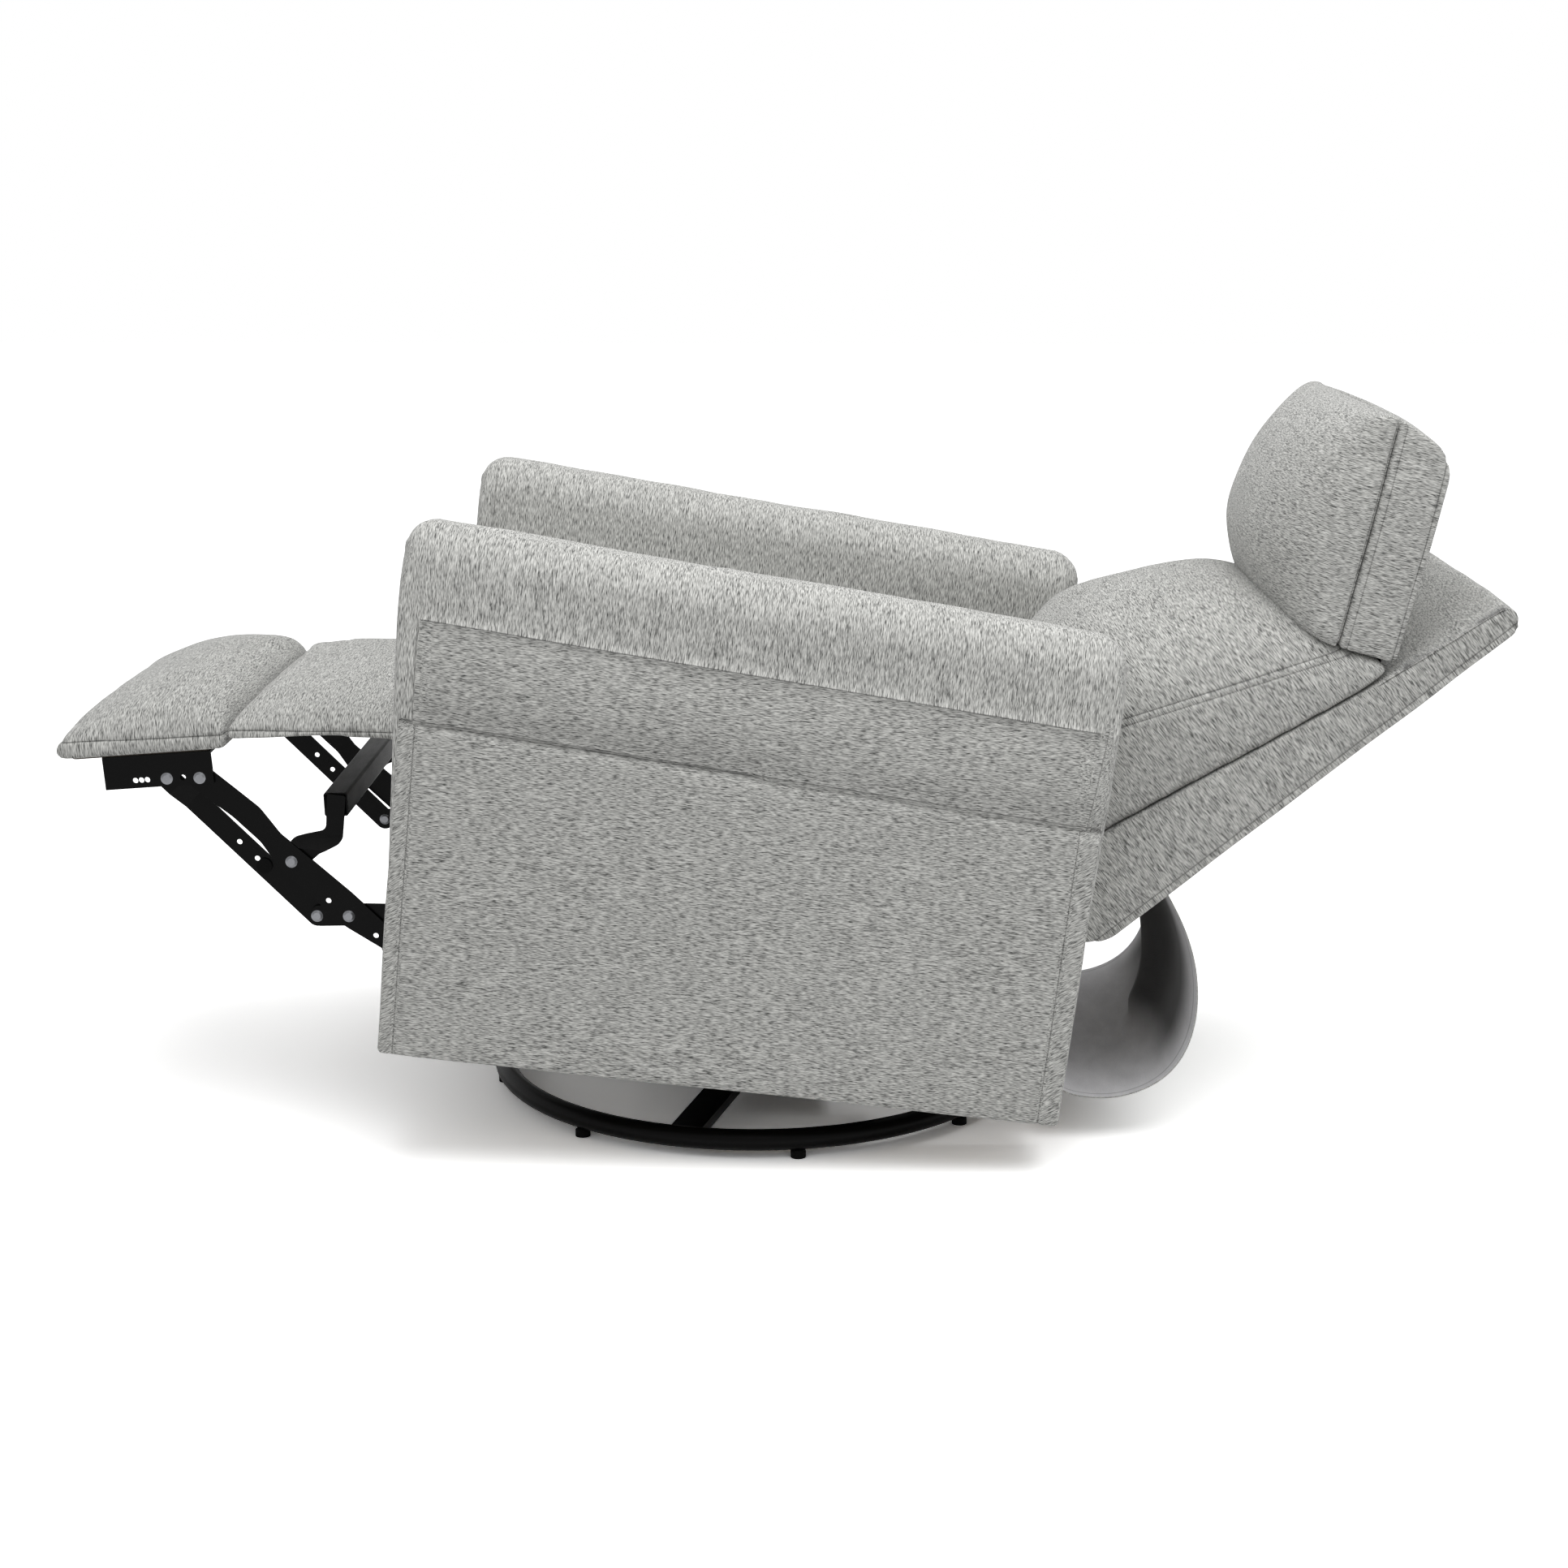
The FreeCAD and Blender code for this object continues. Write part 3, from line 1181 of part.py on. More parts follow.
def makeLinkage():
    gauge = d.plate_gauge
    rearPivot = (d.rear_pivot_y, d.rear_pivot_z)
    guidePivot = (d.guide_pivot_y, d.guide_pivot_z)
    knee = (d.knee_y, d.knee_z)
    cross = (d.cross_y, d.cross_z)
    crankRear = (d.crank_rear_y, d.crank_rear_z)
    bracketRear = (d.bracket_rear_y, d.bracket_rear_z)
    bracketFront = (d.bracket_front_y, d.bracket_front_z)
    crankFront = (cross[0] + bracketFront[0] - bracketRear[0], cross[1] + bracketFront[1] - bracketRear[1])

    pair, frame, reach = strip("rear_link", rearPivot, knee, layer(3))
    keep(combine("Part::Compound", "rear_links", pair))
    pair, frame, reach = strip("guide_link", guidePivot, crankRear, layer(1), looseEnd=d.guide_loose)
    keep(combine("Part::Compound", "guide_links", pair))

    # The main link bows upwards between its crossing and the footrest bracket
    half = d.link_width / 2
    outline = [
        (d.knee_y + 11, d.knee_z - 12, 11.0),
        (d.knee_y + 12, d.knee_z + 12, 11.0),
        (-491.0, 243.5, 40.0),
        (-543.8, 281.0, 60.0),
        (-578.0, 305.0, 30.0),
        (-603.8, 333.0, 40.0),
        (d.bracket_rear_y + 10.0, d.bracket_rear_z + 11.0, 10.0),
        (d.bracket_rear_y - 12.0, d.bracket_rear_z + 9.0, 10.0),
        (d.bracket_rear_y - 10.0, d.bracket_rear_z - 12.0, 9.0),
        (-633.6, 319.0, 60.0),
        (-600.2, 293.0, 40.0),
        (-574.6, 262.3, 40.0),
        (-496.8, 203.0, 60.0),
    ]
    holes = [
        (knee[0], knee[1], d.link_pin_radius + d.seat_gap),
        (cross[0], cross[1], d.link_pin_radius + d.seat_gap),
        (bracketRear[0], bracketRear[1], d.link_pin_radius + d.run_gap),
        (d.knee_y - 19.0, d.knee_z + 13.0, 3.3),
        (d.strap_rivet_y, d.strap_rivet_z, d.link_pin_radius + d.seat_gap),
        (d.strap_spare_y, d.strap_spare_z, 3.3),
    ]
    mains = []
    for side, name in sides:
        mains.append(sidePlate(f"{name}_main_link", bodyFrame, side, layer(1), gauge, outline, holes))
    keep(combine("Part::Compound", "main_links", mains))

    # Cranks between the main link's crossing pin, the front link and the guide link
    outline = [
        (crankFront[0] - 11, crankFront[1] - 3, 8.0),
        (crankFront[0] + 2, crankFront[1] - 12, 8.0),
        (cross[0] + 4, cross[1] - 12, 12.0),
        (crankRear[0] + 11, crankRear[1] - 9, 9.0),
        (crankRear[0] + 9, crankRear[1] + 12, 9.0),
        (cross[0] + 6, cross[1] + 15, 12.0),
        (crankFront[0] - 4, crankFront[1] + 12, 9.0),
    ]
    holes = [
        (crankFront[0], crankFront[1], d.link_pin_radius + d.seat_gap),
        (cross[0], cross[1], d.link_pin_radius + d.run_gap),
        (crankRear[0], crankRear[1], d.link_pin_radius + d.seat_gap),
    ]
    cranks = []
    for side, name in sides:
        cranks.append(sidePlate(f"{name}_crank", bodyFrame, side, layer(2), gauge, outline, holes))
    keep(combine("Part::Compound", "cranks", cranks))

    # Front links step inwards past the main links, so each is a joggled ribbon cut to its outline
    pair, frame, reach = strip("front_link_outline", bracketFront, crankFront, layer(3), holes=(0.47, 0.59),
                               looseEnd=None)
    fronts = []
    for (side, name), flat in zip(sides, pair):
        doc.removeObject(flat.Name)
        inner = layer(3)
        outer = layer(1)
        start = d.joggle_start
        end = d.joggle_end
        profile = [
            (outer, -half * 1.2), (outer + gauge, -half * 1.2), (outer + gauge, start + 1),
            (inner + gauge, end), (inner + gauge, reach + half * 1.2), (inner, reach + half * 1.2),
            (inner, end - 1), (outer, start),
        ]
        if side < 0:
            profile = [(-across, up) for across, up in profile]
        ribbonFrame = frame * Placement(Vector(), Rotation(Vector(1, 0, 0), -90))
        ribbon = prism(f"{name}_front_link_ribbon", ribbonFrame, "XZ_Plane", -half, d.link_width, profile)
        outline = [
            (-half, -half, half * 0.98), (reach + half, -half, half * 0.98),
            (reach + half, half, half * 0.98), (-half, half, half * 0.98),
        ]
        drilled = [
            (0.0, 0.0, d.link_pin_radius + d.run_gap * 4),
            (reach, 0.0, d.link_pin_radius + d.run_gap),
            (reach * 0.47, 0.0, 3.3),
            (reach * 0.59, 0.0, 3.3),
        ]
        span = d.layer_pitch * 2 + gauge
        cutter = sidePlate(f"{name}_front_link_face", frame, side, inner, span, outline, drilled)
        fronts.append(combine("Part::Common", f"{name}_front_link", [ribbon, cutter]))
    keep(combine("Part::Compound", "front_links", fronts))

    # Square cross tube carried by joggled straps on the main links
    square = d.link_tube_side / 2
    tubeFrame = bodyFrame * place(d.link_tube_y, d.link_tube_z, 8.0)
    tubeReach = layer(6) - d.seat_gap
    tube = newBody("link_cross_tube", tubeFrame)
    sketch = newSketch(tube, "YZ_Plane", -tubeReach)
    drawOutline(sketch, [
        (-square, -square, 3.0), (square, -square, 3.0), (square, square, 3.0), (-square, square, 3.0)])
    hollow = square - d.link_tube_wall
    drawOutline(sketch, [(-hollow, -hollow), (hollow, -hollow), (hollow, hollow), (-hollow, hollow)])
    padSketch(tube, sketch, tubeReach * 2)
    keep(tube)

    # Seen from the side the strap rises from its rivet, runs forward and then up past the tube's end
    face = [
        (d.strap_rivet_y - 13, d.strap_rivet_z - 10, 9.0),
        (d.strap_rivet_y + 8, d.strap_rivet_z - 13, 9.0),
        (d.strap_rivet_y + 31, d.strap_rivet_z + 12, 9.0),
        (d.link_tube_y + 11, d.strap_rivet_z + 25, 10.0),
        (d.link_tube_y + 11, d.strap_top, 3.0),
        (d.link_tube_y - 11, d.strap_top, 3.0),
        (d.link_tube_y - 9, d.strap_step_high + 6, 9.0),
        (d.strap_rivet_y - 4, d.strap_rivet_z + 25, 12.0),
    ]
    straps = []
    strapInner = layer(6)
    strapOuter = layer(2) + gauge
    for side, name in sides:
        whole = sidePlate(f"{name}_strap_face", place(), side, strapInner, strapOuter - strapInner, face, [
            (d.strap_rivet_y, d.strap_rivet_z, d.link_pin_radius + d.seat_gap)])
        # A band that lies behind the link, steps inwards at its upper edge and rises to the tube
        band = [
            (layer(2), d.strap_rivet_z - 30), (strapOuter, d.strap_rivet_z - 30),
            (strapOuter, d.strap_step_low + 1), (strapInner + gauge, d.strap_step_high + 1),
            (strapInner + gauge, d.strap_top + 10), (strapInner, d.strap_top + 10),
            (strapInner, d.strap_step_high - 1), (layer(2), d.strap_step_low - 1),
        ]
        if side < 0:
            band = [(-across, up) for across, up in band]
        ribbon = prism(f"{name}_strap_ribbon", place(), "XZ_Plane", -d.strap_spare_y - 60, 180.0, band)
        straps.append(combine("Part::Common", f"{name}_strap", [ribbon, whole]))
    keep(combine("Part::Compound", "tube_straps", straps, bodyFrame))

    # Rivets and studs, grouped by the body that carries them
    pin = d.link_pin_radius
    chassisPins = []
    mainPins = []
    crankPins = []
    bumpers = []
    for sign, name in sides:
        near = float(layer(5)) - 0.1
        for (y, z), outer in ((rearPivot, layer(3)), (guidePivot, layer(1))):
            far = float(outer + gauge) + 0.2
            stud = rivet(sign, near, far, y, z, pin, headInner=True)
            collar = Part.makeCylinder(
                float(pin) + 2.5, float(outer - layer(5) - gauge) - 0.4,
                Vector(sign * (float(layer(5) + gauge) + 0.1), float(y), float(z)), Vector(sign, 0, 0))
            chassisPins.append(stud.fuse(collar).removeSplitter())
        far = float(layer(1) + gauge) + 0.1
        mainPins.append(rivet(sign, float(layer(3)) - 0.2, far, knee[0], knee[1], pin, headInner=True))
        mainPins.append(rivet(sign, float(layer(2)) - 0.2, far, cross[0], cross[1], pin, headInner=False))
        mainPins.append(rivet(
            sign, float(layer(2)) - 0.1, far, d.strap_rivet_y, d.strap_rivet_z, pin, headInner=True))
        crankPins.append(rivet(sign, float(layer(2)) - 0.1, far + 0.1, crankRear[0], crankRear[1], pin))
        crankPins.append(rivet(
            sign, float(layer(3)) - 0.2, float(layer(2) + gauge) + 0.1, crankFront[0], crankFront[1], pin,
            headInner=True))
        share = float(d.bumper_place)
        by = float(bracketFront[0]) + (float(crankFront[0]) - float(bracketFront[0])) * share
        bz = float(bracketFront[1]) + (float(crankFront[1]) - float(bracketFront[1])) * share
        start = Vector(sign * (float(layer(3) + gauge) + 0.1), by, bz)
        bumpers.append(Part.makeCylinder(float(d.bumper_radius), 2.5, start, Vector(sign, 0, 0)))
    chassisPins.append(makeLeverStud())
    keep(solidPiece("linkage_studs", Part.makeCompound(chassisPins), bodyFrame))
    keep(solidPiece("main_link_rivets", Part.makeCompound(mainPins), bodyFrame))
    keep(solidPiece("crank_rivets", Part.makeCompound(crankPins), bodyFrame))
    keep(solidPiece("link_bumpers", Part.makeCompound(bumpers), bodyFrame))


def makeLever():
    half = d.lever_width / 2
    reach = math.hypot(float(d.lever_grip_y - d.lever_pivot_y), float(d.lever_grip_z - d.lever_pivot_z))
    swing = math.degrees(math.atan2(float(d.lever_grip_z - d.lever_pivot_z), float(d.lever_grip_y - d.lever_pivot_y)))
    frame = bodyFrame * place(d.lever_pivot_y, d.lever_pivot_z, swing)
    grip = half * 1.5
    outline = [
        (-half, -half, half * 0.95), (reach * 0.55, -half, 30.0), (reach * 0.75, -grip, 20.0),
        (reach, -grip, grip * 0.8), (reach, grip, grip * 0.8), (reach * 0.75, grip, 20.0),
        (reach * 0.55, half, 30.0), (-half, half, half * 0.95),
    ]
    keep(sidePlate(
        "release_lever", frame, -1, d.lever_inner, d.lever_gauge, outline,
        [(0.0, 0.0, d.lever_pin_radius + d.run_gap)]))


def makeLeverStud():
    near = float(layer(5)) - 0.1
    far = float(d.lever_inner + d.lever_gauge) + 0.1
    stud = rivet(-1, near, far, d.lever_pivot_y, d.lever_pivot_z, d.lever_pin_radius, headInner=True)
    collar = Part.makeCylinder(
        float(d.lever_pin_radius) + 3, float(d.lever_inner - layer(5) - d.plate_gauge) - 0.3,
        Vector(-float(layer(5) + d.plate_gauge) - 0.1, float(d.lever_pivot_y), float(d.lever_pivot_z)),
        Vector(-1, 0, 0))
    return stud.fuse(collar).removeSplitter()


makeBase()
makeBearing()
makeGliderFrame()
makeGlideLinks()
seatBottom = makeChassis()
makeSeat(seatBottom)
makeArms()
makeSkirt()
makeBack()
makeHeadrest()
makeFootrest()
makeLinkage()
makeLever()
doc.recompute()

# Every feature has to have been built before anything is written
for item in doc.Objects:
    if "Invalid" in item.State or "Error" in item.State:
        raise RuntimeError(f"{item.Label} failed: {item.State}")
for piece in exported:
    if piece.Shape.isNull() or not piece.Shape.isValid():
        raise RuntimeError(f"{piece.Label} has no valid solid")
    if not piece.Shape.Solids:
        raise RuntimeError(f"{piece.Label} holds no solid")

os.makedirs("parts", exist_ok=True)
for piece in exported:
    piece.Shape.exportStep(f"parts/{piece.Label}.step")
print(f"{len(exported)} pieces written")
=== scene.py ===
import math

import bmesh
import bpy
from mathutils import Matrix, Vector, noise
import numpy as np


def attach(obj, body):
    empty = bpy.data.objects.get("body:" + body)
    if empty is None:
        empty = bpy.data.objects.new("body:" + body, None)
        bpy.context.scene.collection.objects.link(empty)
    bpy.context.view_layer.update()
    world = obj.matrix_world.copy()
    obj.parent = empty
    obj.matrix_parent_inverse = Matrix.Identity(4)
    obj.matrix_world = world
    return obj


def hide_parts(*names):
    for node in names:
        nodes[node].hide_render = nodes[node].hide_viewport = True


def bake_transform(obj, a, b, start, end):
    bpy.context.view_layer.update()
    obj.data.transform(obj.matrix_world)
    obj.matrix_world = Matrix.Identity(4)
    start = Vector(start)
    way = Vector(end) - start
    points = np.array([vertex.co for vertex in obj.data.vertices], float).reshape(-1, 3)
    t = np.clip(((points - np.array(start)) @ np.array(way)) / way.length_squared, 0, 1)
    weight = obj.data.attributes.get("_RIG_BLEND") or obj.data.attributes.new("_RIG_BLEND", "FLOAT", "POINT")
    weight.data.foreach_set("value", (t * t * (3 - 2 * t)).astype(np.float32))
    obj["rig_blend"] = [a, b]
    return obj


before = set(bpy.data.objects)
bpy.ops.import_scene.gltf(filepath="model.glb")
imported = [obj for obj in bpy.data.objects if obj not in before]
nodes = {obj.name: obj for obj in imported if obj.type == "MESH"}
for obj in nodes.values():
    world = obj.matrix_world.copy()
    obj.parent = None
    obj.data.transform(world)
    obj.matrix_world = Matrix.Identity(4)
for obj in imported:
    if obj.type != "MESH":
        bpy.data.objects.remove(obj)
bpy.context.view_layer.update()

scene = bpy.context.scene


# Frames, as the part's source sets them: floor, tilted body, reclined back, headrest, footrest

def turned(y, z, degrees):
    return Matrix.Translation((0, y, z)) @ Matrix.Rotation(math.radians(degrees), 4, "X")


bodyTilt = -6.05
backTilt = bodyTilt - 45
headTilt = backTilt + 38
padTilt = bodyTilt + 10.3
bodyFrame = turned(-0.030, 0, 0) @ turned(0, 0, bodyTilt)
backFrame = bodyFrame @ turned(0.285, 0.300, -45)
headFrame = backFrame @ turned(0.021, 0.498, 38)
padFrame = bodyFrame @ turned(-0.437, 0.457, 10.3)


# Camera, at the photograph's place

cameraSet = {
    "place": (3.208, 0.074, 1.117),
    "down": 13.11,
    "aside": -1.24,
    "lens": 61.006,
}


def makeCamera(setup):
    down = math.radians(setup["down"])
    aside = math.radians(setup["aside"])
    ahead = Vector((-math.cos(down) * math.cos(aside), math.cos(down) * math.sin(aside), -math.sin(down)))
    data = bpy.data.cameras.new("photoCamera")
    data.sensor_width = 36
    data.lens = setup["lens"]
    data.clip_end = 50
    camera = bpy.data.objects.new("photoCamera", data)
    scene.collection.objects.link(camera)
    camera.location = setup["place"]
    camera.rotation_euler = ahead.to_track_quat("-Z", "Y").to_euler()
    scene.camera = camera


makeCamera(cameraSet)
print("camera placed")


# Shader maths: a socket that adds Math nodes when it is added, subtracted or multiplied

class Wire:
    def __init__(self, tree, socket=None):
        self.tree = tree
        self.socket = socket

    def node(self, kind, settings=None, inputs=None, output=0):
        made = self.tree.nodes.new(kind)
        for name, setting in (settings or {}).items():
            if name == "stops":
                ramp = made.color_ramp
                while len(ramp.elements) < len(setting):
                    ramp.elements.new(0.5)
                for element, (place, shade) in zip(ramp.elements, setting):
                    element.position = place
                    element.color = (shade, shade, shade, 1) if isinstance(shade, float) else (*shade, 1)
            else:
                setattr(made, name, setting)
        for name, value in (inputs or {}).items():
            if isinstance(value, Wire):
                self.tree.links.new(value.socket, made.inputs[name])
            else:
                made.inputs[name].default_value = value
        return Wire(self.tree, made.outputs[output] if made.outputs else None)

    def math(self, operation, first, second=0.0):
        return self.node("ShaderNodeMath", {"operation": operation}, {0: first, 1: second})

    def __add__(self, other):
        return self.math("ADD", self, other)

    def __radd__(self, other):
        return self.math("ADD", other, self)

    def __sub__(self, other):
        return self.math("SUBTRACT", self, other)

    def __rsub__(self, other):
        return self.math("SUBTRACT", other, self)

    def __mul__(self, other):
        return self.math("MULTIPLY", self, other)

    def __rmul__(self, other):
        return self.math("MULTIPLY", other, self)

    def shaded(self, colour):
        # a colour made darker by self
        return self.node("ShaderNodeMix", {"data_type": "RGBA", "blend_type": "MULTIPLY"},
                         {0: 1.0, 6: colour, 7: self}, output=2)

    def pattern(self, turn, size, detail=2.0, rough=0.55):
        # noise whose grain has the given sizes in metres, along axes turned about X
        where = self.node("ShaderNodeTexCoord", output=3)
        local = self.node("ShaderNodeMapping", {"vector_type": "TEXTURE"},
                          {"Vector": where, "Rotation": (math.radians(turn), 0, 0), "Scale": size})
        return self.node("ShaderNodeTexNoise", {}, {"Vector": local, "Scale": 1.0, "Detail": detail,
                                                    "Roughness": rough})


def newMaterial(name):
    material = bpy.data.materials.new(name)
    material.use_nodes = True
    tree = material.node_tree
    tree.nodes.clear()
    return material, Wire(tree)


def sightMask(maker):
    # 1 for what the camera sees straight on, in a reflection or through glass, 0 for bounced light
    path = maker.node("ShaderNodeLightPath")
    seen = [Wire(maker.tree, path.socket.node.outputs[name])
            for name in ("Is Camera Ray", "Is Glossy Ray", "Is Transmission Ray")]
    return maker.math("MINIMUM", seen[0] + seen[1] + seen[2], 1.0)


def finishMaterial(maker, links, fixed):
    shader = maker.node("ShaderNodeBsdfPrincipled", {}, {**fixed, **links})
    maker.node("ShaderNodeOutputMaterial", {}, {"Surface": shader})


def linear(shade):
    shade = shade / 255
    return shade / 12.92 if shade <= 0.04045 else ((shade + 0.055) / 1.055) ** 2.4


fabricSet = {
    "light": tuple(linear(part) for part in (214, 214, 210)),
    "middle": tuple(linear(part) for part in (164, 164, 161)),
    "dark": tuple(linear(part) for part in (76, 77, 75)),
    "streak": 0.0080,
    "thread": 0.0009,
    "slub": 0.0260,
    "cloud": 0.045,
    "cloudWeight": 0.04,
    "weaveWeight": 0.20,
    "slubWeight": 0.22,
    "seamShade": 0.62,
    "bump": 0.0005,
}


def makeFabric(name, turn, run, cloth=fabricSet, paintedLight=1.0):
    # heathered weave: short streaks, a few long slubs and soft clouds, with painted shade from the mesh at
    # the seams, the pocket lip and the band above it, times a painted-light gain
    material, maker = newMaterial(name)
    fine = cloth["thread"]
    long = cloth["streak"]
    slub = cloth["slub"]
    finer = fine * 0.9
    # which way the streaks run, for the grain and for the slubs
    grain, slubs = {
        "back": ((fine, long, fine), (fine, slub, finer)),
        "around": ((long, fine, long), (slub, finer, slub)),
        "across": ((long, long, fine), (slub, slub, finer)),
        "up": ((fine, fine, long), (finer, fine, slub)),
        "wide": ((long, fine, fine), (slub, fine, finer)),
    }[run]
    streak = maker.pattern(turn, grain, 1.5, 0.6)
    slubNoise = maker.pattern(turn + 3, slubs, 1.0, 0.5)
    cloud = maker.pattern(turn, (cloth["cloud"],) * 3, 2.0, 0.5)
    weave = maker.pattern(turn, tuple(size * 0.55 for size in grain), 0.0, 0.5)
    tone = (streak + (cloud - 0.5) * cloth["cloudWeight"] + (weave - 0.5) * cloth["weaveWeight"]
            + (slubNoise - 0.5) * cloth["slubWeight"])
    colour = maker.node("ShaderNodeValToRGB", {"stops": [
        (0.30, cloth["dark"]), (0.47, cloth["middle"]), (0.68, cloth["light"])]}, {0: tone})
    seam = maker.node("ShaderNodeAttribute", {"attribute_name": "seam"}, {}, output=2)
    # painted shade from the mesh's seam attribute, times the painted-light gain
    shade = (1.0 - seam * cloth["seamShade"]) * paintedLight
    roughness = 0.78 + tone * 0.2
    height = streak * 0.7 + weave * 0.5
    normal = maker.node("ShaderNodeBump", {},
                        {"Height": height, "Distance": cloth["bump"], "Strength": 0.6})
    finishMaterial(maker,
                   {"Base Color": shade.shaded(colour), "Roughness": roughness, "Normal": normal},
                   {"Sheen Weight": 0.22, "Sheen Roughness": 0.5, "Specular IOR Level": 0.25})
    return material


metalSet = {
    "black": {"colour": (3, 3, 3), "rough": 0.36, "metal": 0.0, "specular": 0.05, "grain": 0.0016,
              "bump": 0.00012},
    "zinc": {"colour": (168, 170, 172), "rough": 0.28, "metal": 1.0, "specular": 0.5, "grain": 0.0030,
             "bump": 0.00005},
    "rivet": {"colour": (112, 113, 116), "rough": 0.34, "metal": 1.0, "specular": 0.5, "grain": 0.0020,
              "bump": 0.00005},
    "plastic": {"colour": (24, 24, 25), "rough": 0.55, "metal": 0.0, "specular": 0.05, "grain": 0.0007,
                "bump": 0.00010},
    "rubber": {"colour": (18, 18, 18), "rough": 0.85, "metal": 0.0, "specular": 0.05, "grain": 0.0010,
               "bump": 0.00010},
}


def makeHard(name, finish, coat=0.0):
    # powder coat, zinc, plastic or rubber: an even colour broken by fine grain and faint marks
    material, maker = newMaterial(name)
    base = tuple(linear(part) for part in finish["colour"])
    grain = maker.pattern(0, (finish["grain"],) * 3, 3.0, 0.6)
    marks = maker.pattern(20, (0.05, 0.012, 0.05), 4.0, 0.65)
    shade = 0.78 + grain * 0.20 + marks * 0.24
    roughness = finish["rough"] - 0.10 + grain * 0.10 + marks * 0.14
    normal = maker.node("ShaderNodeBump", {},
                        {"Height": grain, "Distance": finish["bump"], "Strength": 0.7})
    finishMaterial(maker,
                   {"Base Color": shade.shaded((*base, 1)), "Roughness": roughness, "Normal": normal},
                   {"Metallic": finish["metal"], "Coat Weight": coat, "Coat Roughness": 0.25,
                    "Specular IOR Level": finish["specular"]})
    return material


plySet = ((0.35, (0.40, 0.24, 0.12)), (0.55, (0.58, 0.40, 0.22)), (0.75, (0.70, 0.53, 0.33)))


def makePlywood(name, shade=1.0):
    material, maker = newMaterial(name)
    grain = maker.pattern(0, (0.006, 0.12, 0.006), 5.0, 0.6)
    ply = maker.pattern(0, (0.4, 0.4, 0.0016), 0.0, 0.5)
    tone = grain * 0.75 + ply * 0.35
    stops = [(place, tuple(part * shade for part in wood)) for place, wood in plySet]
    colour = maker.node("ShaderNodeValToRGB", {"stops": stops}, {0: tone})
    normal = maker.node("ShaderNodeBump", {}, {"Height": grain, "Distance": 0.0003, "Strength": 0.5})
    finishMaterial(maker, {"Base Color": colour, "Roughness": 0.6 + grain * 0.2, "Normal": normal}, {})
    return material


def makeWebbing():
    material, maker = newMaterial("seatWebbing")
    across = maker.pattern(bodyTilt, (0.0022, 0.05, 0.0022), 0.0)
    along = maker.pattern(bodyTilt, (0.05, 0.0022, 0.0022), 0.0)
    weave = across * 0.5 + along * 0.5
    colour = maker.node("ShaderNodeValToRGB", {"stops": [
        (0.38, (0.012, 0.012, 0.013)), (0.62, (0.055, 0.055, 0.058))]}, {0: weave})
    normal = maker.node("ShaderNodeBump", {}, {"Height": weave, "Distance": 0.0006, "Strength": 0.8})
    finishMaterial(maker, {"Base Color": colour, "Roughness": 0.7 + weave * 0.2, "Normal": normal}, {})
    return material


def makeLining():
    # plain pale cloth inside the skirt, with painted shade where the mesh marks it
    material, maker = newMaterial("skirtLining")
    weave = maker.pattern(20, (0.0012, 0.0012, 0.0012), 1.0)
    cloud = maker.pattern(20, (0.05, 0.02, 0.05), 2.0)
    tone = weave * 0.5 + cloud * 0.5
    colour = maker.node("ShaderNodeValToRGB", {"stops": [
        (0.3, (0.60, 0.60, 0.62)), (0.7, (0.80, 0.80, 0.82))]}, {0: tone})
    deep = maker.node("ShaderNodeAttribute", {"attribute_name": "deep"}, {}, output=2)
    normal = maker.node("ShaderNodeBump", {}, {"Height": weave, "Distance": 0.0004, "Strength": 0.6})
    finishMaterial(maker, {"Base Color": (1.0 - deep * 0.94).shaded(colour),
                           "Roughness": 0.75 + weave * 0.2, "Normal": normal}, {"Sheen Weight": 0.15})
    return material


panelCloth = makeFabric("fabricPanel", bodyTilt, "back")
# the roll's cloth, streaked around the arm, is the panel's fabric with painted light: its colour lifted 1.15
# times
rollCloth = makeFabric("fabricRoll", bodyTilt, "around", paintedLight=1.15)
edgeCloth = makeFabric("fabricEdge", bodyTilt + 32, "back")
backCloth = makeFabric("fabricBack", backTilt, "across")
headCloth = makeFabric("fabricHead", headTilt, "across")
padCloth = makeFabric("fabricPad", padTilt, "around")
endCloth = makeFabric("fabricEnd", bodyTilt, "up")
wideCloth = makeFabric("fabricWide", bodyTilt, "wide")
lining = makeLining()
blackSteel = makeHard("blackSteel", metalSet["black"], coat=0.03)
zinc = makeHard("brightZinc", metalSet["zinc"])
rivetSteel = makeHard("rivetSteel", metalSet["rivet"])
plastic = makeHard("blackPlastic", metalSet["plastic"])
rubber = makeHard("blackRubber", metalSet["rubber"])
plywood = makePlywood("plywoodSheet")
stained = makePlywood("plywoodStained", 0.06)
webbing = makeWebbing()
print("materials made")


# Modelling helpers

def smooth(value, low, high):
    share = min(1.0, max(0.0, (value - low) / (high - low)))
    return share * share * (3 - 2 * share)


def along(value, table):
    # a height read from a short table of (place, height), as a smooth curve through its points
    value = min(max(value, table[0][0]), table[-1][0])
    index = next(number for number, (place, height) in enumerate(table[1:]) if value <= place)
    (first, low), (second, high) = table[index], table[index + 1]
    before = table[max(0, index - 1)]
    after = table[min(len(table) - 1, index + 2)]
    wide = second - first
    share = (value - first) / wide
    leave = (high - before[1]) / (second - before[0]) * wide
    arrive = (after[1] - low) / (after[0] - first) * wide
    rest = 1 - share
    return (low * (1 + 2 * share) * rest ** 2 + high * (3 - 2 * share) * share ** 2
            + leave * share * rest ** 2 - arrive * rest * share ** 2)


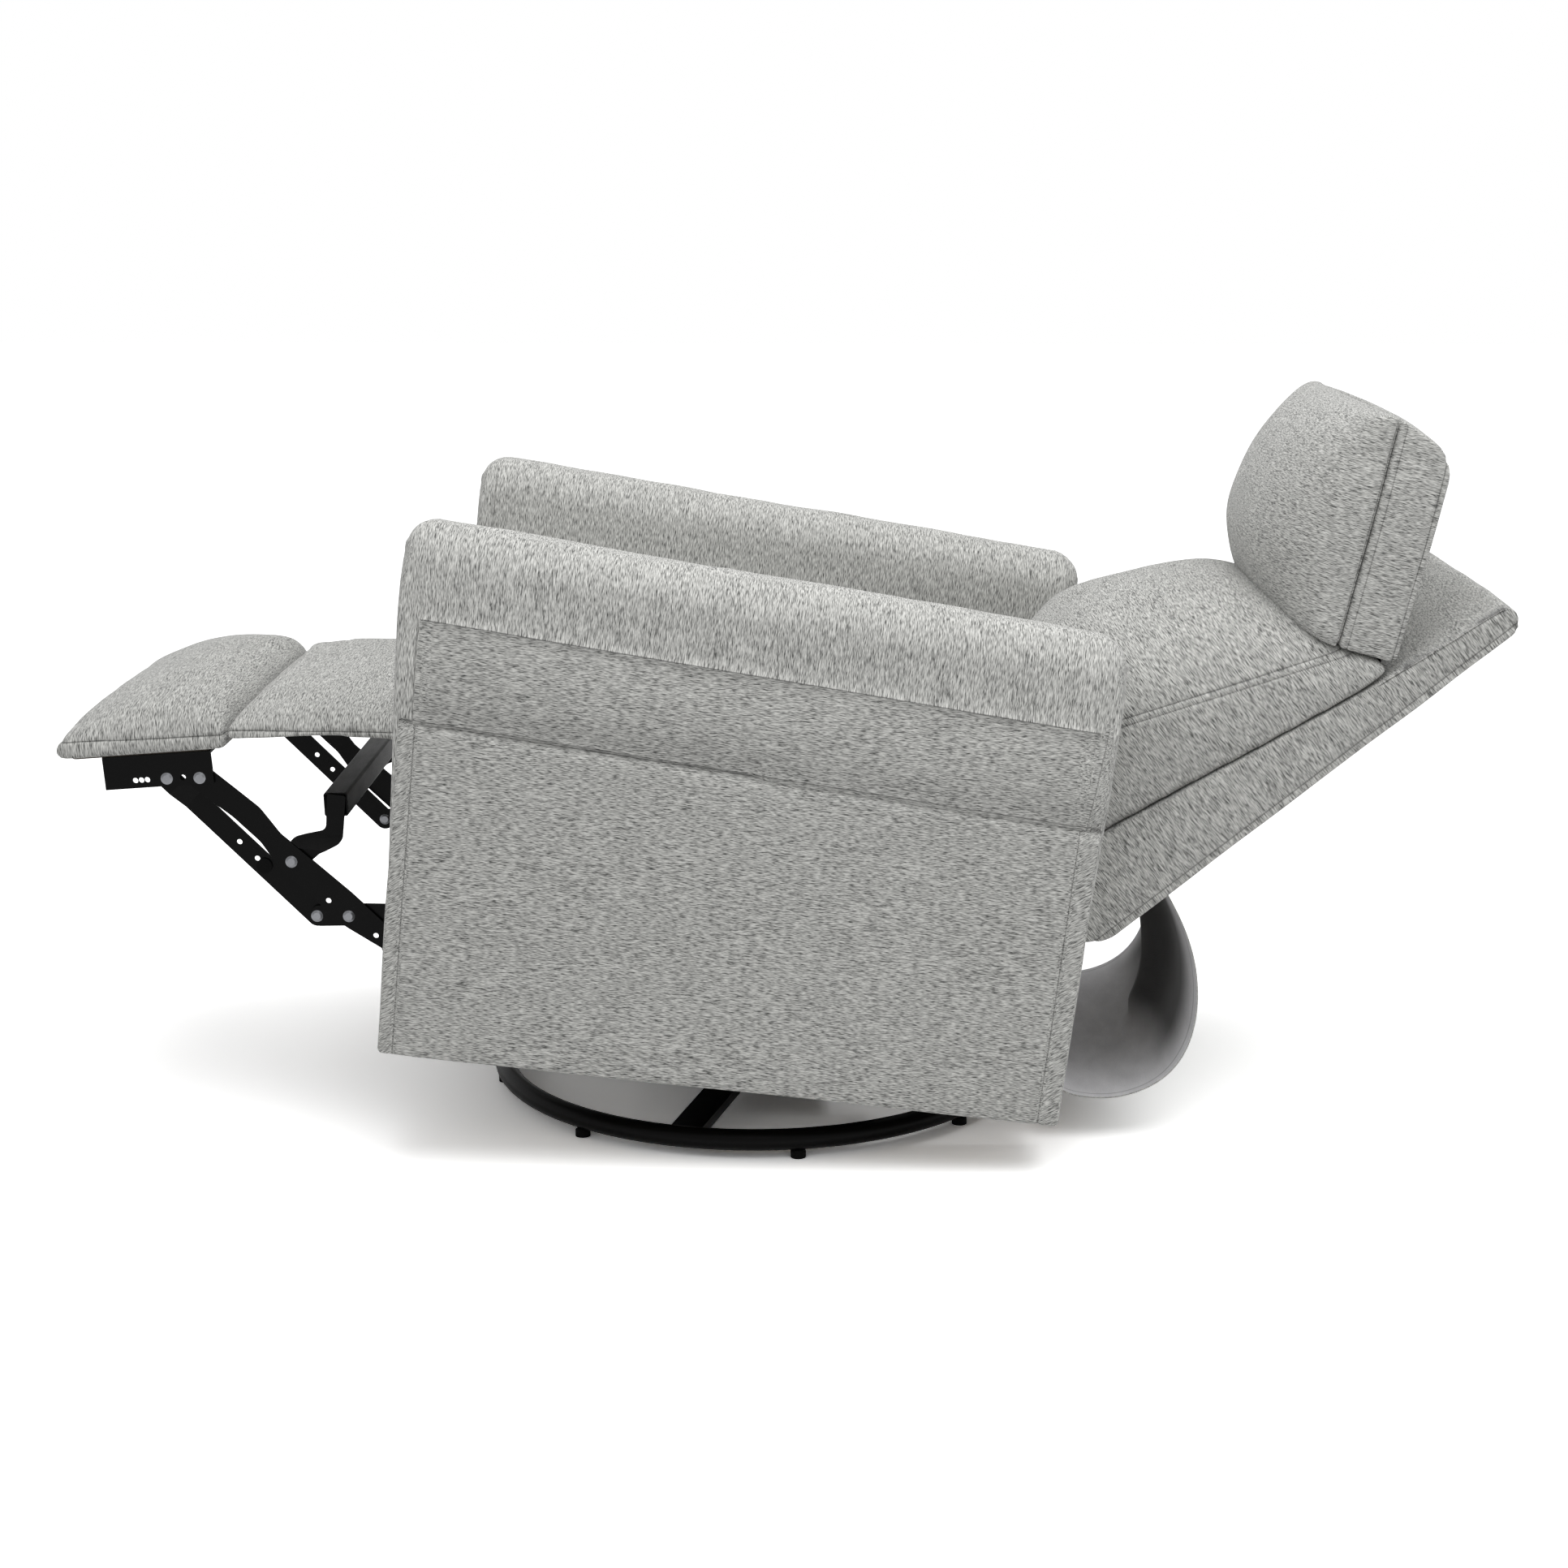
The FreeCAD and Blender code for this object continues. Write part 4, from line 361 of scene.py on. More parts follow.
def sideBlank(corners, low, high):
    # a side outline (y, z, rounding) made solid from x = low to high
    mesh = bmesh.new()
    points = [mesh.verts.new((low, y, z)) for y, z, rounding in corners]
    mesh.faces.new(points)
    for point, (y, z, rounding) in zip(points, corners):
        if rounding:
            bmesh.ops.bevel(mesh, geom=[point], offset=rounding, offset_type="OFFSET", segments=5,
                            profile=0.5, affect="VERTICES", material=-1)
    side = bmesh.ops.extrude_face_region(mesh, geom=mesh.faces[:])
    moved = [item for item in side["geom"] if isinstance(item, bmesh.types.BMVert)]
    bmesh.ops.translate(mesh, vec=(high - low, 0, 0), verts=moved)
    bmesh.ops.recalc_face_normals(mesh, faces=mesh.faces[:])
    return mesh


def roundEdges(mesh, reach, segments=3):
    # every sharp edge of a blank gets the same soft edge
    sharp = [edge for edge in mesh.edges if edge.calc_face_angle(0) > math.radians(35)]
    bmesh.ops.bevel(mesh, geom=sharp, offset=reach, offset_type="OFFSET", segments=segments,
                    profile=0.5, affect="EDGES", material=-1, clamp_overlap=True)


def cut(mesh, spot, normal, within=None):
    faces = [face for face in mesh.faces if within is None or within(face.calc_center_median())]
    edges = {edge for face in faces for edge in face.edges}
    points = {point for face in faces for point in face.verts}
    bmesh.ops.bisect_plane(mesh, geom=[*faces, *edges, *points], dist=1e-6, plane_co=spot, plane_no=normal)


def slices(mesh, axis, places):
    normal = [0, 0, 0]
    normal[axis] = 1
    for place in places:
        spot = [0, 0, 0]
        spot[axis] = place
        cut(mesh, Vector(spot), Vector(normal))


def steps(low, high, gap):
    count = max(2, round((high - low) / gap))
    return [low + (high - low) * step / count for step in range(1, count)]


stitchWidth = 0.0011


def seam(mesh, spot, normal, depth, reach, within=None, dark=1.0):
    # a sewn line: cuts beside it, the line itself sunk and marked for painted shade in the fabric
    spot = Vector(spot)
    normal = Vector(normal).normalized()
    for step in (-reach, -stitchWidth, 0, stitchWidth, reach):
        cut(mesh, spot + normal * step, normal, within)
    mark = mesh.verts.layers.float.get("seam") or mesh.verts.layers.float.new("seam")
    mesh.normal_update()
    sunk = []
    for point in mesh.verts:
        gap = abs((point.co - spot).dot(normal))
        if gap < reach * 0.99 and (within is None or within(point.co)):
            share = 1 - gap / reach
            sunk.append((point, point.normal * -depth * share * share))
            if gap < 0.0009:
                point[mark] = max(point[mark], dark)
    for point, move in sunk:
        point.co += move


def rumple(mesh, amount, size, seed, within=None):
    # the small unevenness of stuffed cloth
    mesh.normal_update()
    for point in mesh.verts:
        if within is None or within(point.co):
            wave = noise.noise(point.co / size + Vector((seed, seed * 2, seed * 3)))
            point.co += point.normal * wave * amount


def finish(name, mesh, place, materials, choose=None):
    # the mesh goes to its place in the row frame, its object stays at the origin
    bmesh.ops.remove_doubles(mesh, verts=mesh.verts[:], dist=1e-5)
    bmesh.ops.recalc_face_normals(mesh, faces=mesh.faces[:])
    for face in mesh.faces:
        face.smooth = True
        if choose:
            face.material_index = choose(face.calc_center_median(), face.normal)
    mesh.transform(place)
    data = bpy.data.meshes.new(name)
    mesh.to_mesh(data)
    mesh.free()
    for material in materials:
        data.materials.append(material)
    piece = bpy.data.objects.new(name, data)
    scene.collection.objects.link(piece)
    return piece


def facing(axis):
    # faces that look along the fine axis of the first cloth take the second, streaked across the chair
    return lambda spot, normal: 1 if abs(normal[axis]) > 0.72 else 0


def baked(piece):
    # the mesh with its modifiers applied
    tree = bpy.context.evaluated_depsgraph_get()
    data = bpy.data.meshes.new_from_object(piece.evaluated_get(tree))
    piece.modifiers.clear()
    return data


stuffingSet = {
    "softenings": 3, "quality": 4, "mass": 0.3, "tension": 12, "bending": 0.6, "frames": 20,
}


def stuffed(mesh, shape, pinned, puff, stuffing=stuffingSet):
    # voxel remesh, the crown by shape(), then a short pressure simulation with a cap on each move
    data = bpy.data.meshes.new("stuffing")
    mesh.to_mesh(data)
    mesh.free()
    piece = bpy.data.objects.new("stuffing", data)
    scene.collection.objects.link(piece)
    remesh = piece.modifiers.new("remesh", "REMESH")
    remesh.mode = "VOXEL"
    remesh.voxel_size = puff["voxel"]
    piece.data = baked(piece)
    form = bmesh.new()
    form.from_mesh(piece.data)
    for turn in range(stuffing["softenings"]):
        bmesh.ops.smooth_vert(form, verts=form.verts[:], factor=0.5,
                              use_axis_x=True, use_axis_y=True, use_axis_z=True)
    for point in form.verts:
        point.co = shape(point.co)
    form.to_mesh(piece.data)
    form.free()
    start = [point.co.copy() for point in piece.data.vertices]
    group = piece.vertex_groups.new(name="held")
    for point in piece.data.vertices:
        group.add([point.index], pinned(point.co), "REPLACE")
    cloth = piece.modifiers.new("cloth", "CLOTH")
    cloth.settings.quality = stuffing["quality"]
    cloth.settings.mass = stuffing["mass"]
    cloth.settings.use_pressure = True
    cloth.settings.uniform_pressure_force = puff["pressure"]
    cloth.settings.vertex_group_mass = "held"
    cloth.settings.effector_weights.gravity = 0
    cloth.settings.tension_stiffness = stuffing["tension"]
    cloth.settings.bending_stiffness = stuffing["bending"]
    cloth.point_cache.frame_end = stuffing["frames"]
    for moment in range(1, stuffing["frames"] + 1):
        scene.frame_set(moment)
    swollen = baked(piece)
    for point, first in zip(swollen.vertices, start):
        move = point.co - first
        if move.length > puff["cap"]:
            point.co = first + move * (puff["cap"] / move.length)
    piece.data = swollen
    scene.frame_set(1)
    soft = piece.modifiers.new("soft", "SUBSURF")
    soft.levels = 1
    soft.render_levels = 1
    data = baked(piece)
    form = bmesh.new()
    form.from_mesh(data)
    bpy.data.objects.remove(piece)
    return form


def dress(piece, body, slotName, *replaced, fill=None):
    for face in piece.data.polygons:
        face.use_smooth = True
    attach(piece, body)
    if replaced:
        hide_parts(*replaced)
    print("made", piece.name, len(piece.data.polygons), "faces")


# Arms: a padded box with a full roll on top, and the outer panel below it

armSet = {
    "inner": 0.2652, "outer": 0.3668, "front": -0.4295, "rear": 0.3430, "bottom": 0.0985, "top": 0.7020,
    "rollRound": 0.047, "slope": math.tan(math.radians(3.8)), "frontLean": 0.0165, "rearLean": 0.0127,
    "frontRound": 0.036, "rearRound": 0.036, "edgeRound": 0.011,
    "seamFront": 0.5975, "seamRear": 0.5510, "lipFront": 0.4850, "lipRear": 0.4450,
    "borderFront": 0.0165, "borderRear": 0.0215, "halfSection": 0.0508,
    "rollSwell": 0.0085, "bandSwell": 0.0098, "innerDip": 0.0025, "bandShade": 0.34, "bandShadeHeight": 0.05,
    "rings": [0.0005, 0.0015, 0.003, 0.0052, 0.0085, 0.0125, 0.0175, 0.0245, 0.0325, 0.0425],
    "lengthCuts": [0.2875, 0.3015, 0.316, 0.3305, 0.3445], "grid": 0.022,
}


def armLine(line, y, arm=armSet):
    # height of a sloping line along the arm, "seam" or "lip", between its two ends
    share = (y - arm["front"]) / (arm["rear"] - arm["front"])
    low = arm[line + "Front"]
    return low + (arm[line + "Rear"] - low) * share


def makeArm(label, side, arm=armSet):
    mesh = bmesh.new()
    corners = [mesh.verts.new((x, arm["front"], z)) for x, z in (
        (arm["inner"], arm["bottom"]), (arm["outer"], arm["bottom"]),
        (arm["outer"], arm["top"]), (arm["inner"], arm["top"]))]
    mesh.faces.new(corners)
    for corner in corners[2:]:
        bmesh.ops.bevel(mesh, geom=[corner], offset=arm["rollRound"], offset_type="OFFSET", segments=9,
                        profile=0.5, affect="VERTICES", material=-1)
    end = bmesh.ops.extrude_face_region(mesh, geom=mesh.faces[:])
    length = arm["rear"] - arm["front"]
    bmesh.ops.translate(mesh, vec=(0, length, 0),
                        verts=[item for item in end["geom"] if isinstance(item, bmesh.types.BMVert)])
    rings = arm["rings"]
    slices(mesh, 1, [arm["front"] + ring for ring in rings] + [arm["rear"] - ring for ring in rings])
    slices(mesh, 1, steps(arm["front"] + rings[-1], arm["rear"] - rings[-1], arm["grid"]))
    slices(mesh, 2, steps(arm["bottom"], arm["top"] - arm["rollRound"], arm["grid"]))
    slices(mesh, 0, arm["lengthCuts"])
    middle = (arm["inner"] + arm["outer"]) / 2
    rollBase = arm["top"] - arm["rollRound"]
    for point in mesh.verts:
        x, y, z = point.co
        # ends rounded inwards along the section, most at the roll
        out = Vector((x - middle, 0, max(0.0, z - rollBase)))
        out = out.normalized() if out.length > 1e-6 else out
        high = smooth(z, 0.60, 0.68)
        for gap, reach in ((y - arm["front"], arm["frontRound"]), (arm["rear"] - y, arm["rearRound"])):
            reach = arm["edgeRound"] + (reach - arm["edgeRound"]) * high
            if gap < reach:
                edge = smooth(max(abs(x - middle) / arm["halfSection"],
                                  (z - rollBase) / arm["rollRound"]), 0.2, 1.0)
                sink = reach - math.sqrt(max(0.0, reach * reach - (reach - gap) ** 2))
                point.co -= out * sink * edge
        x, y, z = point.co
        seamZ = armLine("seam", y)
        lipZ = armLine("lip", y)
        drop = (y - arm["front"]) * arm["slope"] * smooth(z, 0.30, 0.66)
        z = z - drop
        inside = (smooth(y, arm["front"] - 0.002, arm["front"] + 0.05)
                  * smooth(-y, -arm["rear"] - 0.002, -arm["rear"] + 0.05))
        swell = 0.0
        if x > middle:
            if z > seamZ:
                swell = arm["rollSwell"] * math.sin(math.pi * min(1.0, (z - seamZ) / 0.15)) ** 0.7
            elif z > lipZ:
                share = (z - lipZ) / (seamZ - lipZ)
                swell = arm["bandSwell"] * math.sin(math.pi * (0.06 + 0.94 * share)) ** 0.6
        elif z > 0.48:
            swell = -arm["innerDip"] * math.sin(math.pi * min(1.0, (z - 0.48) / 0.22))
        x += swell * inside
        y -= arm["frontLean"] * smooth(z, 0.1, 0.72) * (1 if y < 0 else 0)
        y += arm["rearLean"] * smooth(z, 0.1, 0.66) * (1 if y > 0 else 0)
        point.co = (x, y, z)
    rumple(mesh, 0.0016, 0.07, 3.0 + side, lambda spot: spot.z > 0.46)
    rumple(mesh, 0.0007, 0.018, 8.0 + side, lambda spot: spot.z > 0.52)

    def outerSide(spot):
        return spot.x > middle + 0.03 and arm["lipRear"] - 0.02 < spot.z < 0.66

    def belowSeam(spot):
        return outerSide(spot) and spot.z < armLine("seam", spot.y) + 0.001

    run = Vector((0, length, arm["seamRear"] - arm["seamFront"]))
    across = Vector((0, -run.z, run.y))
    seam(mesh, (0.36, arm["front"], arm["seamFront"]), across, 0.0030, 0.007,
         lambda spot: outerSide(spot) and arm["front"] + 0.013 < spot.y < arm["rear"] - 0.010)
    lip = Vector((0, length, arm["lipRear"] - arm["lipFront"]))
    seam(mesh, (0.36, arm["front"], arm["lipFront"] + 0.0012), (0, -lip.z, lip.y), 0.0040, 0.010,
         lambda spot: spot.x > middle + 0.03 and arm["front"] + 0.013 < spot.y < arm["rear"] - 0.008, 1.0)
    mark = mesh.verts.layers.float["seam"]
    for point in mesh.verts:
        above = point.co.z - armLine("lip", point.co.y)
        if outerSide(point.co) and 0 < above < arm["bandShadeHeight"]:
            shade = arm["bandShade"] * (1 - above / arm["bandShadeHeight"]) ** 2
            point[mark] = max(point[mark], shade)
    frontLine = Vector((0.36, arm["front"] + arm["borderFront"] - 0.004, 0.44))
    rearLine = Vector((0.36, arm["rear"] - 0.0135, 0.44))
    for line, lean in ((frontLine, 0.012), (rearLine, -0.10)):
        seam(mesh, line, (0, 1, lean), 0.0016, 0.005, belowSeam, 0.7)
    for y, normal in ((arm["front"] + 0.012, (0, 1, 0.015)), (arm["rear"] - 0.010, (0, 1, -0.02))):
        seam(mesh, (0.30, y, 0.4), normal, 0.0012, 0.004, lambda spot: spot.x < arm["inner"] + 0.01, 0.6)

    def choose(spot, normal):
        if abs(normal.y) > 0.72 and not arm["front"] + 0.03 < spot.y < arm["rear"] - 0.03:
            return 3
        if spot.x < middle or spot.y < arm["front"] + 0.0125:
            return 1
        if spot.z > armLine("seam", spot.y):
            return 1
        behind = spot.y > rearLine.y + (spot.z - rearLine.z) * 0.10
        ahead = spot.y < frontLine.y - (spot.z - frontLine.z) * 0.012
        return 2 if behind or ahead else 0

    if side < 0:
        bmesh.ops.scale(mesh, vec=(-1, 1, 1), verts=mesh.verts[:])
    piece = finish(label + "Upholstery", mesh, bodyFrame, [panelCloth, rollCloth, edgeCloth, endCloth],
                   lambda spot, normal: choose(Vector((abs(spot.x), spot.y, spot.z)), normal))
    dress(piece, "chassis", "upholstery", label + "_arm_pad", fill=0.7)


panelSet = {"inner": 0.3669, "outer": 0.3752, "lipDip": 0.0050, "bulge": 0.0014}


def makePanel(label, side, arm=armSet, panel=panelSet):
    corners = [
        (arm["front"] + 0.0006, arm["bottom"] - 0.0002, 0.006),
        (arm["rear"] - 0.0006, arm["bottom"] - 0.0002, 0.006),
        (arm["rear"] + 0.0040, arm["lipRear"], 0.0),
        (arm["front"] - 0.0034, arm["lipFront"], 0.0),
    ]
    mesh = sideBlank(corners, panel["inner"], panel["outer"])
    roundEdges(mesh, 0.0030, 2)
    slices(mesh, 1, steps(arm["front"], arm["rear"], arm["grid"]))
    slices(mesh, 2, steps(arm["bottom"], arm["lipFront"], arm["grid"]))
    lip = Vector((0, arm["rear"] - arm["front"], arm["lipRear"] - arm["lipFront"]))
    lipUp = Vector((0, -lip.z, lip.y)).normalized()
    for gap in (0.0015, 0.004, 0.008, 0.013, 0.02):
        cut(mesh, Vector((0, arm["front"], arm["lipFront"])) - lipUp * gap, lipUp)
    mark = mesh.verts.layers.float.new("seam")
    for point in mesh.verts:
        if point.co.x > panel["inner"] + 0.004:
            below = -(point.co - Vector((0, arm["front"], arm["lipFront"]))).dot(lipUp)
            # painted shade in the pocket mouth, darkest right at the lip
            point[mark] = 1 - smooth(below, 0.0016, 0.006)
            point.co.x -= panel["lipDip"] * (1 - smooth(below, 0.0, 0.014))
            rise = smooth(point.co.z, arm["bottom"], arm["lipFront"])
            point.co.x += panel["bulge"] * math.sin(math.pi * rise)
    rumple(mesh, 0.0012, 0.11, 5.0 + side, lambda spot: spot.x > panel["inner"] + 0.004)
    for y, lean in ((arm["front"] + arm["borderFront"], 0.006), (arm["rear"] - arm["borderRear"], -0.012)):
        seam(mesh, (0.37, y, 0.3), (0, 1, lean), 0.0016, 0.005,
             lambda spot: spot.x > panel["inner"] + 0.003, 0.8)

    def choose(spot, normal):
        if abs(normal.y) > 0.72:
            return 2
        if spot.y < arm["front"] + arm["borderFront"] or spot.y > arm["rear"] - arm["borderRear"] + 0.001:
            return 1
        return 0

    if side < 0:
        bmesh.ops.scale(mesh, vec=(-1, 1, 1), verts=mesh.verts[:])
    piece = finish(label + "Pocket", mesh, bodyFrame, [panelCloth, edgeCloth, endCloth], choose)
    dress(piece, "chassis", "upholstery", label + "_pocket_panel")


for label, side in (("left", 1), ("right", -1)):
    makeArm(label, side)
    makePanel(label, side)


# Back: a firm shell with its side band, and the crowned cushion in front of it

shellSet = {"half": 0.2588, "edge": 0.0036, "crown": 0.003}


def makeBackShell(shell=shellSet):
    corners = [
        (-0.0398, 0.0305, 0.0), (0.052, 0.0290, 0.012), (0.0790, 0.059, 0.016),
        (0.0780, 0.6485, 0.018), (0.0482, 0.6510, 0.013), (0.0292, 0.4732, 0.0)]
    mesh = sideBlank(corners, -shell["half"], shell["half"])
    roundEdges(mesh, shell["edge"], 3)
    slices(mesh, 2, steps(0.031, 0.648, 0.024))
    slices(mesh, 0, steps(-shell["half"], shell["half"], 0.026))
    slices(mesh, 1, [-0.02, 0.0, 0.018, 0.034, 0.044, 0.052])
    for point in mesh.verts:
        x, u, v = point.co
        across = 1 - (abs(x) / shell["half"]) ** 4
        down = math.sin(math.pi * smooth(v, 0.03, 0.65)) ** 0.5
        if u > 0.06:
            point.co.y += shell["crown"] * across * down
        if v > 0.48 and u < 0.06:
            point.co.y -= 0.003 * across * math.sin(math.pi * min(1.0, (v - 0.48) / 0.165)) ** 0.5
        if v > 0.63:
            point.co.z += 0.003 * across
        if abs(x) > shell["half"] - 0.004:
            point.co.x += math.copysign(0.0022 * math.sin(math.pi * smooth(u, -0.05, 0.075)), x)
    rumple(mesh, 0.0013, 0.08, 11.0)

    def sides(spot):
        return abs(spot.x) > shell["half"] - 0.012

    seam(mesh, (0, 0.0705, 0.3), (0, 1, 0), 0.0022, 0.005, sides, 0.9)
    seam(mesh, (0, 0.3, 0.6400), (0, 0, 1), 0.0018, 0.005, lambda spot: spot.y > 0.058, 0.8)
    seam(mesh, (0, 0.0400, 0.56), (0, 1, -0.105), 0.0022, 0.005,
         lambda spot: sides(spot) and spot.z > 0.478, 0.9)
    for x in (-0.250, 0.250):
        seam(mesh, (x, 0.07, 0.3), (1, 0, 0), 0.0018, 0.005, lambda spot: spot.y > 0.060, 0.8)
    piece = finish("backShell", mesh, backFrame, [backCloth, wideCloth], facing(2))
    dress(piece, "backrest", "upholstery", "back_shell", fill=0.75)


cushionSet = {
    "half": 0.2535, "voxel": 0.0062, "crown": 0.124, "pressure": 3.5, "cap": 0.010,
    "profile": [(0.031, 0.22), (0.06, 0.42), (0.125, 0.72), (0.21, 0.95),
                (0.28, 1.0), (0.37, 0.94), (0.43, 0.74), (0.474, 0.36)],
}


def makeBackCushion(cushion=cushionSet):
    corners = [(-0.0405, 0.0315, 0.0), (0.0284, 0.4740, 0.0), (-0.0240, 0.4740, 0.016),
               (-0.1080, 0.250, 0.03), (-0.1120, 0.130, 0.03), (-0.0740, 0.0330, 0.016)]
    mesh = sideBlank(corners, -cushion["half"], cushion["half"])

    def baseLine(v):
        return -0.0405 + (v - 0.0315) * (0.0689 / 0.4425)

    def frontLine(v):
        return along(v, [(0.031, -0.074), (0.13, -0.112), (0.25, -0.108), (0.474, -0.024)])

    def shape(spot):
        x, u, v = spot
        thick = max(0.02, baseLine(v) - frontLine(v))
        share = min(1.0, max(0.0, (baseLine(v) - u) / thick))
        across = max(0.0, 1 - (abs(x) / (cushion["half"] + 0.004)) ** 2.5) ** 0.62
        rise = cushion["crown"] * across * along(v, cushion["profile"]) * share ** 1.6
        # the base spreads to the shell's width above the arms
        wide = (0.0062 * smooth(v, 0.22, 0.34) * (1 - smooth(share, 0.3, 1.0))
                * (abs(x) / cushion["half"]) ** 6)
        # the upper corners rise to meet the headrest
        corner = smooth(v, 0.445, 0.474) * smooth(u, -0.022, 0.022) * smooth(abs(x), 0.188, 0.220)
        return Vector((x + math.copysign(wide, x), u - rise, v + rise * 0.02 + 0.027 * corner))

    def pinned(spot):
        return 1.0 if spot.y > baseLine(spot.z) - 0.012 else 0.0

    mesh = stuffed(mesh, shape, pinned, cushion)
    rumple(mesh, 0.0009, 0.05, 21.0, lambda spot: spot.y < baseLine(spot.z) - 0.02)
    run = Vector((0, 0.084, 0.224))
    across = Vector((0, run.z, -run.y)).normalized()

    def nearSide(spot):
        return abs(spot.x) > cushion["half"] - 0.05 and spot.y < baseLine(spot.z) - 0.006

    for step, dark in ((0.0, 0.8), (0.0080, 0.6)):
        seam(mesh, Vector((0, -0.110, 0.250)) + across * step, across, 0.0019, 0.0038,
             lambda spot: nearSide(spot) and spot.z > 0.10, dark)
    piece = finish("backCushion", mesh, backFrame, [backCloth, wideCloth], facing(2))
    dress(piece, "backrest", "upholstery", "back_cushion", fill=0.8)


makeBackShell()
makeBackCushion()


# Headrest: boxed cushion, double-stitched round its crowned front

headSet = {
    "shellHalf": 0.2555, "half": 0.2580, "voxel": 0.0058, "crown": 0.090, "pressure": 3.5, "cap": 0.009,
    "profile": [(0.0, 0.30), (0.02, 0.50), (0.06, 0.80), (0.11, 1.0),
                (0.17, 0.94), (0.23, 0.68), (0.277, 0.22)],
}


def makeHeadrest(head=headSet):
    shellHalf = head["shellHalf"]
    mesh = sideBlank([(-0.0560, 0.0115, 0.0), (0.0110, 0.0092, 0.007), (0.0140, 0.2460, 0.030),
                      (-0.0560, 0.2730, 0.0)], -shellHalf, shellHalf)
    roundEdges(mesh, 0.006, 3)
    slices(mesh, 2, steps(0.010, 0.258, 0.022))
    slices(mesh, 0, steps(-shellHalf, shellHalf, 0.026))
    slices(mesh, 1, [-0.045, -0.035, -0.025, -0.012])
    for point in mesh.verts:
        x, y, z = point.co
        across = 1 - (abs(x) / shellHalf) ** 4
        middle = math.sin(math.pi * smooth(y, -0.075, 0.02))
        if abs(x) > shellHalf - 0.004:
            point.co.x += math.copysign(0.003 * middle, x)
        if z > 0.225:
            point.co.z += 0.007 * across * middle
        if y > 0.0:
            point.co.y += 0.003 * across * math.sin(math.pi * smooth(z, 0.0, 0.25))
        point.co.x *= 1 - 0.035 * smooth(z, 0.15, 0.27)
    rumple(mesh, 0.0009, 0.07, 31.0)
    seam(mesh, (0, -0.0475, 0.1), (0, 1, 0), 0.0016, 0.0045, None, 0.75)
    seam(mesh, (0, 0.0060, 0.1), (0, 1, 0), 0.0022, 0.005,
         lambda spot: abs(spot.x) > 0.23 or spot.z > 0.22, 0.9)
    piece = finish("headrestShell", mesh, headFrame, [headCloth, wideCloth], facing(2))
    dress(piece, "headrest", "upholstery", "headrest_shell", fill=0.75)

    mesh = sideBlank([(-0.0560, 0.0100, 0.0), (-0.0560, 0.2780, 0.0), (-0.0740, 0.2740, 0.008),
                      (-0.0740, 0.0150, 0.010)], -head["half"], head["half"])

    def shape(spot):
        x, y, z = spot
        share = min(1.0, max(0.0, (-0.056 - y) / 0.016))
        across = max(0.0, 1 - (abs(x) / (head["half"] + 0.003)) ** 2.6) ** 0.60
        rise = head["crown"] * across * along(z, head["profile"]) * share
        return Vector((x * (1 - 0.035 * smooth(z, 0.15, 0.27)), y - rise, z - rise * 0.03))

    def pinned(spot):
        return 1.0 if spot.y > -0.060 else 0.0

    mesh = stuffed(mesh, shape, pinned, head)
    rumple(mesh, 0.0009, 0.05, 41.0, lambda spot: spot.y < -0.062)
    seam(mesh, (0, -0.0585, 0.1), (0, 1, 0), 0.0014, 0.0035, None, 0.75)
    piece = finish("headrestCushion", mesh, headFrame, [headCloth, wideCloth], facing(2))
    dress(piece, "headrest", "upholstery", "headrest_cushion", fill=0.85)


makeHeadrest()


# Seat cushion between the arms

seatSet = {
    "half": 0.2530, "voxel": 0.0066, "crown": 0.030, "pressure": 3.5, "cap": 0.009,
}


def makeSeat(seat=seatSet):
    mesh = sideBlank([(-0.4000, 0.4020, 0.012), (0.0980, 0.4020, 0.008), (0.0980, 0.4620, 0.022),
                      (-0.3990, 0.4780, 0.034)], -seat["half"], seat["half"])

    def shape(spot):
        x, y, z = spot
        across = max(0.0, 1 - (abs(x) / (seat["half"] + 0.003)) ** 2.8) ** 0.6
        length = max(0.0, 1 - abs((y + 0.15) / 0.252) ** 3) ** 0.6
        share = max(0.0, (z - 0.402) / 0.08)
        return Vector((x, y, z + seat["crown"] * across * length * share ** 1.5))

    def pinned(spot):
        return 1.0 if spot.z < 0.412 else 0.0

    mesh = stuffed(mesh, shape, pinned, seat)
    rumple(mesh, 0.0016, 0.06, 51.0, lambda spot: spot.z > 0.42)
    seam(mesh, (0, -0.15, 0.4545), (0, 0.03, 1), 0.0025, 0.0050, None, 0.9)
    piece = finish("seatCushion", mesh, bodyFrame, [padCloth, wideCloth], facing(1))
    dress(piece, "chassis", "upholstery", "seat_cushion", fill=0.8)


makeSeat()


# Footrest: two pads with a sewn channel between them, over a plain border

footSet = {
    "half": 0.2540, "voxel": 0.0054, "pressure": 3.5, "cap": 0.008,
    "front": {"crown": 0.046, "base": (-0.012, 0.004),
              "profile": [(-0.412, 0.30), (-0.385, 0.50), (-0.34, 0.78), (-0.29, 1.0),
                          (-0.25, 1.0), (-0.225, 0.90), (-0.214, 0.68)]},
    "rear": {"crown": 0.027, "base": (-0.022, -0.004),
             "profile": [(-0.2138, 0.78), (-0.200, 0.94), (-0.165, 1.0), (-0.10, 1.0),
                         (-0.04, 0.80), (0.0, 0.45)]},
}


